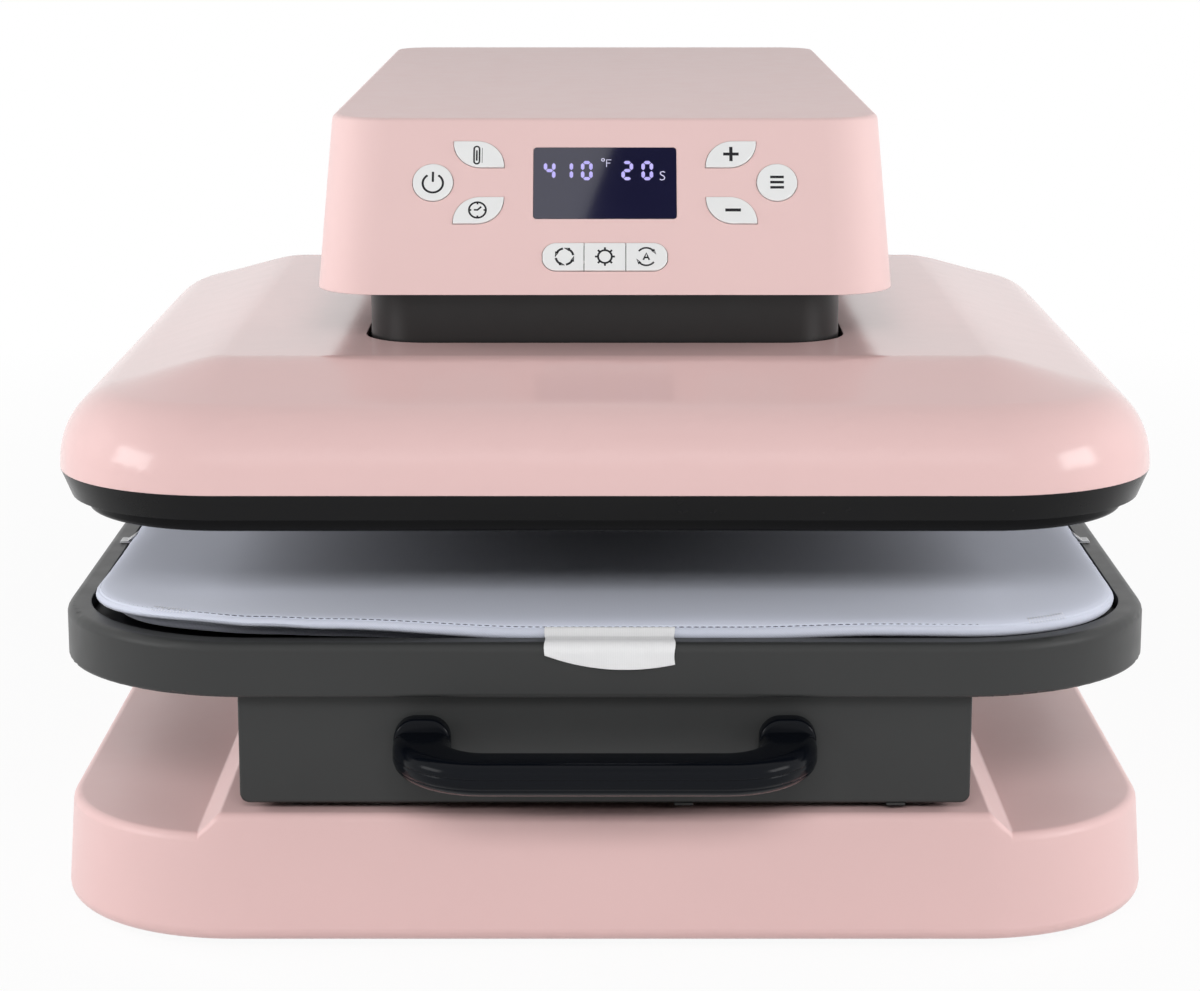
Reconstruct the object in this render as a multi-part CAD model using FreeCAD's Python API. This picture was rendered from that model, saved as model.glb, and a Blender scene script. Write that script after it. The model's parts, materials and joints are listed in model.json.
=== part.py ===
import FreeCAD, Part
import math
import os

# Desktop heat press: a heated platen on a lead screw presses down on a padded
# tray that slides out of the base like a drawer.  All sizes are millimetres.
# While modelling, X is centred, Y starts at the front of the base and runs to
# the back, and Z starts at the table.  The finished part is moved along Y so
# that its origin lies under the middle of its footprint.

V = FreeCAD.Vector
UP = V(0, 0, 1)
ACROSS = V(1, 0, 0)
BACKWARD = V(0, 1, 0)
tiny = 1e-6                 # levels closer than this are the same

# ---------------------------------------------------------------- shared fits
wall = 3.0                  # moulded covers
running = 0.05              # radial clearance of a shaft or rod in its bearing
seat_gap = 0.3              # soft goods lying on a hard seat
slip = 0.5                  # sliding pieces beside each other

# ----------------------------------------------------------------------- base
ground_gap = 4.0            # table to the underside of the base cover
base_margin = 1.6           # foot of the base cover beyond the tray on each side
base_corner = 77.0
base_side_height = 45.0
base_draft = 3.2            # each side leans in by this much over its height
base_top_round = 4.0
base_foot_round = 6.0
plateau_rise = 8.5
plateau_margin = 8.0        # flat on top beyond the drawer box on each side
plateau_slope = 9.0         # sideways run of its sloping flanks
plateau_round = 2.5         # along the flanks' upper and lower edges
pan_thickness = 1.5
base_lip = 12.0             # turned in under the base, around the pan
pan_recess = 1.0            # pan above the underside of the base cover
pan_clearance = 0.5
foot_radius = 13.0
foot_side_inset = 60.0      # feet from the sides of the base
foot_inset = 62.0           # and from its front and back
foot_boss_radius = 7.0

# --------------------------------------------------------------------- column
column_width = 245.0
column_depth = 147.0
column_gap = 10.0           # platen cover to the column
column_setback = 12.0       # column's back ahead of the back of the base
column_corner = 20.0

# ----------------------------------------------------------------------- head
head_overhang = 10.0        # head in front of the neck
head_height = 70.2
head_front_lean = 42.0      # the panel leans back by this much over its height
head_back_lean = 5.0
head_side_draft = 3.5       # each side leans in by this much
head_corner = 28.0
head_back_corner = 20.0
head_top_round = 3.0
underside_thickness = 3.0
underside_gap = 0.2

# ----------------------------------------------------------------------- neck
neck_side = 22.0            # head beyond the neck on each side
neck_depth = 249.0
neck_corner = 25.0
neck_wall = 2.5
neck_visible = 21.5         # between the head and the raised platen cover
neck_flange = 3.0
neck_flange_thickness = 2.0
neck_to_bracket = 2.0       # left above the platen bracket when it is raised
neck_hole_gap = 2.25

# ------------------------------------------------------------- platen assembly
open_gap = 32.8             # pad to the face of the raised platen
cover_overhang = 11.0       # cover beyond the heat guard
cover_corner = 72.0
cover_height = 45.0
cover_lip = 1.5             # upright band under the curved edge
cover_shoulder = 22.0       # how far in the curved edge reaches
cover_crown = 11.6          # from there the top rises by this much to its level middle
cover_bulge = 16.0          # pull of the curved edge's lower end
cover_roll = 13.0           # and of its upper end
cover_slope = 26.0          # pull of the sloping top's outer end
cover_ease = 9.0            # and of its inner end
trim_height = 10.9
trim_taper = 4.5
trim_post_inset = 20.0      # upstand that carries the platen bracket
trim_post_wall = 3.0
guard_rim = 21.5            # heat guard beside the platen's air gap
guard_rim_front = 23.0      # and in front of it and behind it
guard_height = 6.1
guard_corner = 62.0
guard_round = 2.0
guard_top_round = 0.25
platen_size = 385.0         # takes a 381 mm square transfer
platen_thickness = 12.0
platen_corner = 12.0
platen_proud = 1.6          # platen face below the heat guard
platen_gap = 1.0            # air gap around the hot platen
bracket_thickness = 2.0
bracket_relief = 60.0       # lightening holes
bracket_relief_x = 118.0
element_radius = 4.0
element_groove_gap = 0.1
element_bend = 38.0
element_side_inset = 32.5   # outer runs from the platen's sides
element_inner_x = 55.0
element_front_inset = 34.0  # first run from the platen's front edge
element_middle_inset = 110.0
terminal_x = 20.0
terminal_height = 10.0      # above the platen bracket
terminal_gap = 1.0
standoff_inset = 16.5       # standoffs from the platen's edges
standoff_radius = 8.0
standoff_height = 10.0
platen_bolt_radius = 3.0
platen_bolt_head_radius = 6.0
platen_bolt_grip = 8.0      # thread length in the platen
bolt_head_height = 4.0
blanket_inset = 6.0
blanket_gap = 0.5
cutout_radius = 8.0         # thermal cut-out
cutout_height = 8.0
cutout_x = 60.0
probe_x = -60.0
probe_radius = 3.0
probe_length = 24.0

# ------------------------------------------------------------- lift mechanism
spring_height = 14.0
spring_x = 42.0
spring_outer = 14.0
spring_inner = 7.0
spring_discs = 6
spring_wall = 1.5
shoulder_radius = 5.0
shoulder_head_radius = 8.0
carriage_margin = 13.0      # carriage beyond the guide rods at the sides
carriage_end_margin = 15.0  # and at the front and back
carriage_thickness = 8.0
carriage_corner = 10.0
nut_radius = 13.0
nut_flange_radius = 20.0
nut_flange_thickness = 4.0
nut_length = 34.0
screw_radius = 7.0
screw_tip_gap = 3.0         # screw tip above the platen
screw_well_radius = 10.0
collar_radius = 10.0
collar_thickness = 3.0
journal_radius = 6.0
bearing_radius = 14.0
bearing_gap = 0.05
head_plate_thickness = 8.0
head_plate_above_head = 26.0  # head plate's underside above the head's underside
head_plate_depth = 200.0
rod_x = 62.0
rod_y = 60.0
rod_radius = 6.0
rod_top_gap = 2.5           # raised rods below the head cover
bushing_radius = 10.5
bushing_below = 14.0
bushing_above = 2.0
gear_module = 1.25
gear_teeth = 54
pinion_teeth = 18
gear_thickness = 8.0
gear_hub_radius = 12.0
gear_hub_height = 13.0
gear_mesh_gap = 0.1         # added to the centre distance
gear_backlash = 0.2
pressure_angle = 20.0
dedendum = 1.25             # root below the pitch circle, in modules
flank_steps = 4
motor_radius = 18.0
motor_height = 42.0
motor_nose_radius = 8.0
motor_shaft_radius = 4.0
switch_size = (8.0, 20.0, 12.0)
switch_spacing = 40.0
switch_lever = 1.5

# ---------------------------------------------------------------- steel frame
plate_thickness = 3.0
plate_inset = 12.5          # middle of each side plate from the column's side
plate_front = 40.0
plate_setback = 17.0        # side plates behind the column's front
plate_back_gap = 30.0       # and ahead of its back
arm_setback = 62.0          # upper arms behind the front of the head
arm_low_gap = 12.0          # upper arm above the underside of the head
arm_top_gap = 5.3           # upper arm below the top of the head cover
plate_inner_round = 18.0
passage_margin = 8.0        # opening in the base beside the side plates
cross_thickness = 3.0
cross_places = (60.0, 300.0)
web_inset = 6.0             # column web behind the front of the column plates
web_rise = 32.5             # web above the plateau
web_drop = 16.1             # and below the head

# ------------------------------------------------------------- drawer and tray
box_gap = 3.0               # under the drawer box
box_width = 296.0
box_front = 9.0
box_height = 46.5
box_back_inset = 12.0       # box ahead of the tray's back
box_corner = 4.0
box_front_round = 1.2       # around the front face
tab_width = 7.5
tab_drop = 0.9
tab_places = (32.0, 118.0)
tray_overhang = 1.0         # tray beyond the platen cover on each side
tray_short = 3.0            # tray's back ahead of the cover's
tray_height = 22.4
tray_corner = 84.0
tray_rim = 10.0
tray_top_round = 4.0
tray_foot_round = 2.0
tray_floor = 3.4
lower_platen_thickness = 6.0
mat_thickness = 7.0
pad_side_gap = 2.0          # pad to the tray's rim
pad_end_gap = 0.5
pad_corner_gap = 1.0
pad_edge_height = 11.0
pad_height = 14.8
pad_crown_inset = 26.0
pad_crown_rise = 0.7
pad_foot_inset = 2.0
pad_shoulder_inset = 4.0
tag_width = 52.0
tag_thickness = 0.8
tag_hang = 10.0             # below the tray rim
tab_length = 8.0            # loops on the pad's sides
tab_setback = 175.0
tab_tall = 6.0

# --------------------------------------------------------------------- handle
handle_width = 170.0
handle_reach = 49.0         # from the drawer box to the front of the bar
handle_foot_width = 23.0
handle_foot_depth = 7.3
handle_foot_round = 8.8
handle_thick = 13.5
handle_round = 5.5
handle_bend = 26.0
handle_foot_above = 25.5    # foot centre above the bottom of the drawer box
handle_drop = 2.0           # bar centre below the foot centre
handle_bolt_radius = 2.5
handle_bolt_grip = 12.0
handle_bolt_head = 4.5

# --------------------------------------------------------------- drawer slides
slide_height = 35.0
slide_rise = 2.5            # slide above the drawer box's lower edge
slide_metal = 1.5
slide_front = 30.0
slide_back_gap = 10.0       # slide ahead of the back of the drawer box
slide_depth = 15.0          # across, from the bracket to the drawer box's wall
slide_flange = 10.0
bracket_metal = 2.0
bracket_foot = 28.0

# -------------------------------------------------------------- control panel
key_proud = 0.7
key_round = 0.3             # around the face of each key
key_gap = 0.25
key_flange = 1.2
key_flange_thickness = 1.2
key_travel = 0.6
key_behind = 0.1            # flange behind the panel wall
plunger_radius = 1.5
plunger_length = 2.0
tact_gap = 0.1              # switch below the pressed plunger
tact_size = 6.0
tact_height = 3.0
board_thickness = 1.6
board_margin = 2.45         # circuit board beyond the round keys
board_drop = 38.9           # its lower edge below the display's middle
board_rise = 23.6           # its upper edge above it
round_key_x = 73.0
round_key_rise = 0.1        # above the display's middle
round_key_radius = 8.55
leaf_x = 53.6
leaf_rise = (-12.8, 13.2)   # from the display's middle
leaf_width = 21.4
leaf_height = 12.2
leaf_round = 11.5
mode_drop = 34.2            # lower row below the display's middle
mode_height = 12.6
mode_pitch = 17.6
mode_gap = 0.3              # between neighbouring keys
display_width = 60.6
display_height = 33.0
display_rise = 10.5         # above the middle of the panel
display_corner = 1.3
lens_thickness = 2.0
lens_gap = 0.15

# ----------------------------------------------------------------- rear panel
rear_panel_side = 22.5      # panel inside the column's sides
rear_panel_rise = 14.5      # above the plateau
rear_panel_drop = 19.1      # below the head
rear_panel_thickness = 2.0
rear_panel_corner = 8.0
rear_opening_margin = 8.0
vent_count = 13
vent_pitch = 11.0
vent_width = 4.0
vent_round = 1.95
vent_height = 55.0
vent_drop = 17.0            # vents below the panel's upper edge
body_round = 1.0            # corners of the inlet's and the switch's bodies
inlet_x = -42.0
service_rise = 40.0         # inlet and rocker switch above the panel's lower edge
inlet_body = (27.0, 20.0)
inlet_flange = (50.0, 26.0)
inlet_flange_thickness = 2.5
inlet_flange_round = 4.0
inlet_depth = 20.0
inlet_recess = (24.0, 16.0)
inlet_recess_depth = 16.5
inlet_recess_round = 2.0
blade_size = (2.0, 13.0, 4.0)
blade_spacing = 7.0
blade_rise = 4.0
rocker_x = 46.0
rocker_body = (15.0, 22.0)
rocker_flange = (19.0, 26.0)
rocker_flange_thickness = 2.0
rocker_flange_round = 1.5
rocker_depth = 16.0
rocker_wall = 1.5
rocker_side_gap = 0.4
rocker_half = 8.4
rocker_crest = 3.0          # from the pivot out to the middle of the face
rocker_shoulder = 4.2       # and to its ends
rocker_skirt = 1.0
rocker_keel = 3.0
rocker_keel_drop = 4.0
rocker_tilt = 8.0           # degrees each side of level
rocker_pin_radius = 1.5
rocker_pin_length = 2.0
rocker_pivot_depth = 1.0    # pivot behind the panel's outer face

# ----------------------------------------------------------------- main board
main_board_size = (180.0, 130.0)
main_board_rise = 10.0      # above the web's lower edge
main_board_standoff = 8.0
main_board_post = 4.0
component_boxes = (         # x, z from the board's lower left corner, then size
    (12.0, 14.0, 50.0, 42.0, 30.0),
    (72.0, 14.0, 28.0, 16.0, 16.0),
    (72.0, 40.0, 28.0, 16.0, 16.0),
    (118.0, 20.0, 40.0, 22.0, 12.0),
    (20.0, 84.0, 64.0, 22.0, 8.0),
    (112.0, 84.0, 44.0, 24.0, 6.0),
)

# ------------------------------------------------------------------ fasteners
screw_shank_radius = 2.0
screw_head_radius = 4.0
screw_head_height = 2.2
screw_grip = 12.0
frame_screw_pitch = 60.0
foot_screw_recess = 1.0
foot_well_gap = 0.5
panel_screw_inset = 4.0     # rear panel's screws from its edges

# ------------------------------------------------ worked out: plan, from the platen
guard_width = platen_size + 2 * (platen_gap + guard_rim)
guard_depth = platen_size + 2 * (platen_gap + guard_rim_front)
cover_width = guard_width + 2 * cover_overhang
cover_depth = guard_depth + 2 * cover_overhang
press_y = cover_depth / 2                    # middle of the pressing area
platen_front = press_y - platen_size / 2
platen_back = press_y + platen_size / 2
standoff_x = platen_size / 2 - standoff_inset
element_outer_x = platen_size / 2 - element_side_inset
carriage_width = 2 * (rod_x + carriage_margin)
carriage_depth = 2 * (rod_y + carriage_end_margin)

tray_width = cover_width + 2 * tray_overhang
tray_depth = cover_depth - tray_short
pad_width = tray_width - 2 * (tray_rim + pad_side_gap)
pad_depth = tray_depth - 2 * (tray_rim + pad_end_gap)
pad_corner = tray_corner - tray_rim - pad_corner_gap
pad_front = tray_rim + pad_end_gap
box_back = tray_depth - box_back_inset
box_inner = box_width / 2 - wall
slide_back = box_back - slide_back_gap
slide_root = box_inner - slide_depth         # the bracket's face
handle_front = box_front - handle_reach

base_width = tray_width + 2 * base_margin
plateau_half = box_width / 2 + plateau_margin
foot_x = base_width / 2 - foot_side_inset
column_front = cover_depth + column_gap
column_back = column_front + column_depth
base_depth = column_back + column_setback

neck_width = column_width - 2 * neck_side
neck_front = press_y - neck_depth / 2
neck_back = press_y + neck_depth / 2
head_front = neck_front - head_overhang
head_back = column_back
plate_x = column_width / 2 - plate_inset
plate_column_front = column_front + plate_setback
plate_back = column_back - plate_back_gap
arm_front = head_front + arm_setback
rear_panel_width = column_width - 2 * rear_panel_side
gear_centres = gear_module * (gear_teeth + pinion_teeth) / 2 + gear_mesh_gap
motor_y = press_y + gear_centres

# --------------------------------------------------- worked out: levels, going up
base_low = ground_gap
side_top = base_low + base_side_height
plateau_top = side_top + plateau_rise
foot_screw_seat = foot_screw_recess + screw_head_height
pan_low = base_low + pan_recess
pan_top = pan_low + pan_thickness
box_low = plateau_top + box_gap
box_top = box_low + box_height
slide_low = box_low + slide_rise
slide_high = slide_low + slide_height
handle_z = box_low + handle_foot_above
tray_low = box_top
tray_top = tray_low + tray_height
lower_platen_low = tray_low + tray_floor
mat_low = lower_platen_low + lower_platen_thickness
mat_top = mat_low + mat_thickness
pad_low = mat_top
pad_top = pad_low + pad_height

platen_low = pad_top + open_gap
platen_top = platen_low + platen_thickness
guard_low = platen_low + platen_proud
trim_low = guard_low + guard_height
cover_low = trim_low + trim_height
cover_top = cover_low + cover_height
bracket_low = platen_top + standoff_height
bracket_top = bracket_low + bracket_thickness
carriage_low = bracket_top + spring_height
carriage_top = carriage_low + carriage_thickness
neck_low = bracket_top + neck_to_bracket

head_low = cover_top + neck_visible
head_top = head_low + head_height
underside_top = head_low + underside_thickness
head_plate_low = head_low + head_plate_above_head
head_plate_top = head_plate_low + head_plate_thickness
arm_low = head_low + arm_low_gap
arm_top = head_top - wall - arm_top_gap
rod_top = head_top - wall - rod_top_gap
gear_low = head_plate_top + bearing_gap
web_low = plateau_top + web_rise
web_high = head_low - web_drop
main_board_low = web_low + main_board_rise
rear_panel_low = plateau_top + rear_panel_rise
rear_panel_high = head_low - rear_panel_drop
service_z = rear_panel_low + service_rise    # middle of the inlet and the switch

# --------------------------------------------------- worked out: the control panel
head_lean = math.atan2(head_front_lean, head_height)
display_up = math.hypot(head_height, head_front_lean) / 2 + display_rise
round_key_up = display_up + round_key_rise
leaf_up = [display_up + rise for rise in leaf_rise]
mode_up = display_up - mode_drop
board_half = round_key_x + round_key_radius + board_margin
board_depth = (wall + key_behind + key_flange_thickness + plunger_length
               + key_travel + tact_gap + tact_height)


# --------------------------------------------------------------- shape helpers
def arc(centre, radius, start, end, normal=UP):
    circle = Part.Circle(centre, normal, radius)
    return Part.Arc(circle, math.radians(start), math.radians(end))


def line(start, end):
    return Part.LineSegment(start, end)


def wire_of(curves):
    return Part.Wire([curve.toShape() for curve in curves])


def outline(width, front, back, corner, z, back_corner=None, middle=0.0):
    """Closed wire: a rectangle in plan with rounded corners."""
    rear = corner if back_corner is None else back_corner
    half = width / 2
    corners = (
        (middle + half - corner, front + corner, corner, -90),
        (middle + half - rear, back - rear, rear, 0),
        (middle - half + rear, back - rear, rear, 90),
        (middle - half + corner, front + corner, corner, 180),
    )
    arcs = [arc(V(x, y, z), r, turn, turn + 90) for x, y, r, turn in corners]
    curves = []
    for this, following in zip(arcs, arcs[1:] + arcs[:1]):
        curves += [this, line(this.EndPoint, following.StartPoint)]
    return wire_of(curves)


def slab(width, front, back, corner, low, high, back_corner=None, middle=0.0):
    face = Part.Face(outline(width, front, back, corner, low, back_corner, middle))
    return face.extrude(UP * (high - low))


def box(x_low, x_high, y_low, y_high, z_low, z_high):
    corner = V(x_low, y_low, z_low)
    return Part.makeBox(x_high - x_low, y_high - y_low, z_high - z_low, corner)


def rod(x, y, low, high, radius):
    return Part.makeCylinder(radius, high - low, V(x, y, low), UP)


def tube(x, y, low, high, outer, inner):
    return rod(x, y, low, high, outer).cut(rod(x, y, low, high, inner))


def joined(shapes):
    shapes = list(shapes)
    return shapes[0].multiFuse(shapes[1:]).removeSplitter()


def group(shapes):
    return Part.makeCompound(list(shapes))


def mirrored(shape):
    return shape.mirror(V(0, 0, 0), ACROSS)


def both_sides(shape):
    return group([shape, mirrored(shape)])


def corners_of(half_x, half_y, middle_y):
    return [(sx * half_x, middle_y + sy * half_y) for sx in (-1, 1) for sy in (-1, 1)]


def moulded(width, front, back, corner, edge):
    """Solid with rounded plan corners.  `edge` lists the curves of its outer
    face from bottom to top, in the X-Z plane; X there is measured from the
    corner's axis, so the outline lies at X = corner."""
    first, last = edge[0].StartPoint, edge[-1].EndPoint
    profile = [line(V(0, 0, first.z), first), *edge, line(last, V(0, 0, last.z)),
               line(V(0, 0, last.z), V(0, 0, first.z))]
    face = Part.Face(wire_of(profile))
    half, depth = width / 2, back - front
    quarter = face.revolve(V(0, 0, 0), UP, 90)
    corner_x, corner_y = half - corner, depth / 2 - corner
    middle = V(0, (front + back) / 2, 0)
    pieces = [box(-corner_x, corner_x, -corner_y, corner_y, first.z, last.z)]
    for turn, x, y in ((0, corner_x, corner_y), (90, -corner_x, corner_y),
                       (180, -corner_x, -corner_y), (270, corner_x, -corner_y)):
        piece = quarter.copy()
        piece.rotate(V(0, 0, 0), UP, turn)
        piece.translate(V(x, y, 0))
        pieces.append(piece)
    for turn, run, x, y in ((0, corner_y, corner_x, 0), (90, corner_x, 0, corner_y),
                            (180, corner_y, -corner_x, 0), (270, corner_x, 0, -corner_y)):
        flank = face.copy()
        flank.translate(V(0, -run, 0))
        side = flank.extrude(V(0, 2 * run, 0))
        side.rotate(V(0, 0, 0), UP, turn)
        side.translate(V(x, y, 0))
        pieces.append(side)
    solid = joined(pieces)
    solid.translate(middle)
    return solid


def rounded_edge(corner, low, high, foot_round, top_round, lean=0.0):
    """Outer face with its lower and upper edges rounded over.  Between them it
    leans in by the angle `lean`."""
    out = V(math.cos(lean), 0, math.sin(lean))
    foot_centre = V(corner - foot_round, 0, low + foot_round)
    reach = foot_centre.dot(out) + foot_round - top_round
    top_z = high - top_round
    top_centre = V((reach - top_z * out.z) / out.x, 0, top_z)
    foot = Part.Arc(foot_centre - UP * foot_round,
                    foot_centre + (out - UP).normalize() * foot_round,
                    foot_centre + out * foot_round)
    top = Part.Arc(top_centre + out * top_round,
                   top_centre + (out + UP).normalize() * top_round,
                   top_centre + UP * top_round)
    return [foot, line(foot.EndPoint, top.StartPoint), top]


def crowned_edge(corner, low, high):
    """Upright lip, a curve over the shoulder, then a slope that levels out."""
    lip = V(corner, 0, low + cover_lip)
    shoulder = V(corner - cover_shoulder, 0, high - cover_crown)
    crown = V(wall, 0, high)
    outwards = (shoulder - crown).normalize()
    over, slope = Part.BezierCurve(), Part.BezierCurve()
    over.setPoles([lip, lip + UP * cover_bulge, shoulder + outwards * cover_roll, shoulder])
    slope.setPoles([shoulder, shoulder - outwards * cover_slope, crown + ACROSS * cover_ease,
                    crown])
    return [line(V(corner, 0, low), lip), over, slope]


def rounded_rectangle(width, height, corner, x=0.0, y=0.0):
    """Face in the X-Y plane, for pieces set on the control panel."""
    return Part.Face(outline(width, y - height / 2, y + height / 2, corner, 0, middle=x))


def upright(face, y_low, y_high):
    """Stand an X-Y face up in the X-Z plane and extrude it along Y."""
    solid = face.extrude(UP * (y_high - y_low))
    solid.rotate(V(0, 0, 0), ACROSS, 90)
    solid.translate(V(0, y_high, 0))
    return solid


def on_panel(shape):
    """Move a shape from panel coordinates (X right, Y up the panel, Z out of
    it) to its place on the leaning front of the head."""
    turned = shape.copy()
    turned.rotate(V(0, 0, 0), ACROSS, 90 - math.degrees(head_lean))
    turned.translate(V(0, head_front, head_low))
    return turned


def bolt(x, y, low, high, radius, head_radius, head_height):
    """Bolt standing upright with its head on top."""
    return joined([rod(x, y, low, high, radius),
                   rod(x, y, high, high + head_height, head_radius)])


def screw_along_y(x, z, tip, seat, radius, head_radius, head_height):
    """Screw pointing forward from a seat that faces the back."""
    shank = Part.makeCylinder(radius, seat - tip, V(x, tip, z), BACKWARD)
    head = Part.makeCylinder(head_radius, head_height, V(x, seat, z), BACKWARD)
    return joined([shank, head])


# ------------------------------------------------------------------ base pieces
def base_form(inset):
    """Base outline with its raised plateau, moved inwards by `inset`."""
    width = base_width - 2 * inset
    front, back = inset, base_depth - inset
    corner = base_corner - inset
    foot, top = base_foot_round - inset, base_top_round - inset
    low = base_low + inset
    lean = math.atan2(base_draft, base_side_height)
    sides = moulded(width, front, back, corner,
                    rounded_edge(corner, low, side_top - inset, foot, top, lean))
    tall = moulded(width, front, back, corner,
                   rounded_edge(corner, low, plateau_top - inset, foot, top, lean))
    half, run = plateau_half - inset, plateau_slope
    floor, roof = low, plateau_top - inset
    points = [V(-half - run, 0, floor), V(half + run, 0, floor),
              V(half + run, 0, side_top - inset), V(half, 0, roof),
              V(-half, 0, roof), V(-half - run, 0, side_top - inset)]
    ridge = Part.Face(Part.makePolygon(points + points[:1])).extrude(V(0, base_depth, 0))
    return joined([sides, tall.common(ridge)])


def plateau_edges(form):
    """Long edges along the top and the foot of the plateau's sloping flanks."""
    places = ((plateau_half, plateau_top), (plateau_half + plateau_slope, side_top))
    return [edge for edge in form.Edges for x, z in places
            if edge.BoundBox.YLength > base_depth / 2 and edge.BoundBox.ZLength < tiny
            and abs(abs(edge.BoundBox.XMin) - x) < tiny and abs(edge.BoundBox.ZMin - z) < tiny]


def frame_passage(inset):
    """Opening in the plateau that the frame rises through."""
    half = plate_x + passage_margin
    return box(-half, half, plate_column_front - inset,
               plate_back + inset, side_top - base_top_round, plateau_top)


def foot_places():
    middle = base_depth / 2
    return corners_of(foot_x, middle - foot_inset, middle)


def base_cover():
    mouth = slab(base_width - 2 * base_lip, base_lip, base_depth - base_lip,
                 base_corner - base_lip, base_low, base_low + wall)
    outer = base_form(0)
    outer = outer.makeFillet(plateau_round, plateau_edges(outer))
    shell = outer.cut([base_form(wall), mouth])
    posts = [rod(x, y, pan_top, plateau_top, foot_boss_radius) for x, y in foot_places()]
    bores = [rod(x, y, pan_top, foot_screw_seat + screw_grip, screw_shank_radius)
             for x, y in foot_places()]
    bosses = [post.common(outer) for post in posts]
    return joined([shell, *bosses]).cut([frame_passage(wall), *bores])


def base_pan():
    inset = base_lip + pan_clearance
    plate = slab(base_width - 2 * inset, inset, base_depth - inset,
                 base_corner - inset, pan_low, pan_top)
    holes = [rod(x, y, pan_low, pan_top, screw_shank_radius) for x, y in foot_places()]
    return plate.cut(holes)


def rubber_feet():
    feet = []
    for x, y in foot_places():
        foot = rod(x, y, 0, pan_low, foot_radius)
        well = rod(x, y, 0, foot_screw_seat, screw_head_radius + foot_well_gap)
        feet.append(foot.cut(well).cut(rod(x, y, 0, pan_low, screw_shank_radius)))
    return group(feet)


def machine_screws():
    """One size of screw in the feet, the rear panel and the steel frame."""
    radius, head, height = screw_shank_radius, screw_head_radius, screw_head_height
    screws = []
    for x, y in foot_places():
        tip = foot_screw_seat + screw_grip
        screws.append(joined([rod(x, y, foot_screw_seat, tip, radius),
                              rod(x, y, foot_screw_recess, foot_screw_seat, head)]))
    seat = column_back + rear_panel_thickness
    for x, z in rear_panel_corners():
        screws.append(screw_along_y(x, z, seat - screw_grip, seat, radius, head, height))
    outer = plate_x + plate_thickness / 2
    for y, z in frame_screw_places():
        shank = Part.makeCylinder(radius, screw_grip, V(outer - screw_grip, y, z), ACROSS)
        cap = Part.makeCylinder(head, height, V(outer, y, z), ACROSS)
        screw = joined([shank, cap])
        screws += [screw, mirrored(screw)]
    return group(screws)


def frame_screw_places():
    """Screws through each side plate into the edge of the head plate."""
    level = (head_plate_low + head_plate_top) / 2
    return [(press_y + place * frame_screw_pitch, level) for place in (-1, 0, 1)]


def frame_screw_holes():
    start = plate_x + plate_thickness / 2 - screw_grip
    holes = [Part.makeCylinder(screw_shank_radius, screw_grip, V(start, y, z), ACROSS)
             for y, z in frame_screw_places()]
    return holes + [mirrored(hole) for hole in holes]


# --------------------------------------------------------------------- the frame
def frame_side_plates():
    floor, under = pan_top, plateau_top - wall
    points = [(plate_front, floor), (plate_back, floor), (plate_back, arm_top),
              (arm_front, arm_top), (arm_front, arm_low), (plate_column_front, arm_low),
              (plate_column_front, under), (plate_front, under)]
    corners = [V(plate_x - plate_thickness / 2, y, z) for y, z in points]
    blank = Part.Face(Part.makePolygon(corners + corners[:1]))
    plate = blank.extrude(ACROSS * plate_thickness)
    throat = [edge for edge in plate.Edges
              if abs(edge.BoundBox.YMin - plate_column_front) < tiny
              and edge.BoundBox.YLength < tiny and edge.BoundBox.ZLength < tiny
              and abs(edge.BoundBox.ZMin - arm_low) < tiny]
    rounded = plate.makeFillet(plate_inner_round, throat)
    return both_sides(rounded.cut(frame_screw_holes()))


def cross_plates():
    """Plates that tie the two side plates together."""
    half = plate_x - plate_thickness / 2
    lower = [box(-half, half, y, y + cross_thickness, pan_top, plateau_top - wall)
             for y in cross_places]
    web_front = plate_column_front + web_inset
    web = box(-half, half, web_front, web_front + cross_thickness, web_low, web_high)
    return group([*lower, web])


def head_plate():
    """Plate between the upper arms that carries the screw, rods and motor."""
    half = plate_x - plate_thickness / 2
    front = press_y - head_plate_depth / 2
    plate = box(-half, half, front, front + head_plate_depth, head_plate_low, head_plate_top)
    holes = [rod(0, press_y, head_plate_low, head_plate_top, bearing_radius),
             rod(0, motor_y, head_plate_low, head_plate_top, motor_nose_radius)]
    holes += [rod(x, y, head_plate_low, head_plate_top, bushing_radius)
              for x, y in corners_of(rod_x, rod_y, press_y)]
    return plate.cut(holes + frame_screw_holes())


# --------------------------------------------------------------- drawer slides
def channel(root, tip, low, high):
    """C channel along Y: its web at X = root and its flanges reaching to tip."""
    out = 1 if tip > root else -1
    web = sorted((root, root + out * slide_metal))
    reach = sorted((root, tip))
    pieces = [box(web[0], web[1], slide_front, slide_back, low, high)]
    for z in (low, high - slide_metal):
        pieces.append(box(reach[0], reach[1], slide_front, slide_back, z, z + slide_metal))
    return joined(pieces)


def slide_outer_rails():
    return both_sides(channel(slide_root, slide_root + slide_flange, slide_low, slide_high))


def slide_middle_rails():
    step = slide_metal + slip
    root = slide_root + step
    return both_sides(channel(root, root + slide_flange, slide_low + step, slide_high - step))


def slide_inner_rails():
    step = 2 * (slide_metal + slip)
    return both_sides(channel(box_inner, box_inner - slide_flange,
                              slide_low + step, slide_high - step))


def rail_brackets():
    """Angle brackets on the plateau that carry the fixed rails."""
    foot = box(slide_root - bracket_foot, slide_root, slide_front, slide_back,
               plateau_top, plateau_top + bracket_metal)
    face = box(slide_root - bracket_metal, slide_root, slide_front, slide_back,
               plateau_top, slide_high)
    return both_sides(joined([foot, face]))


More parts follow.
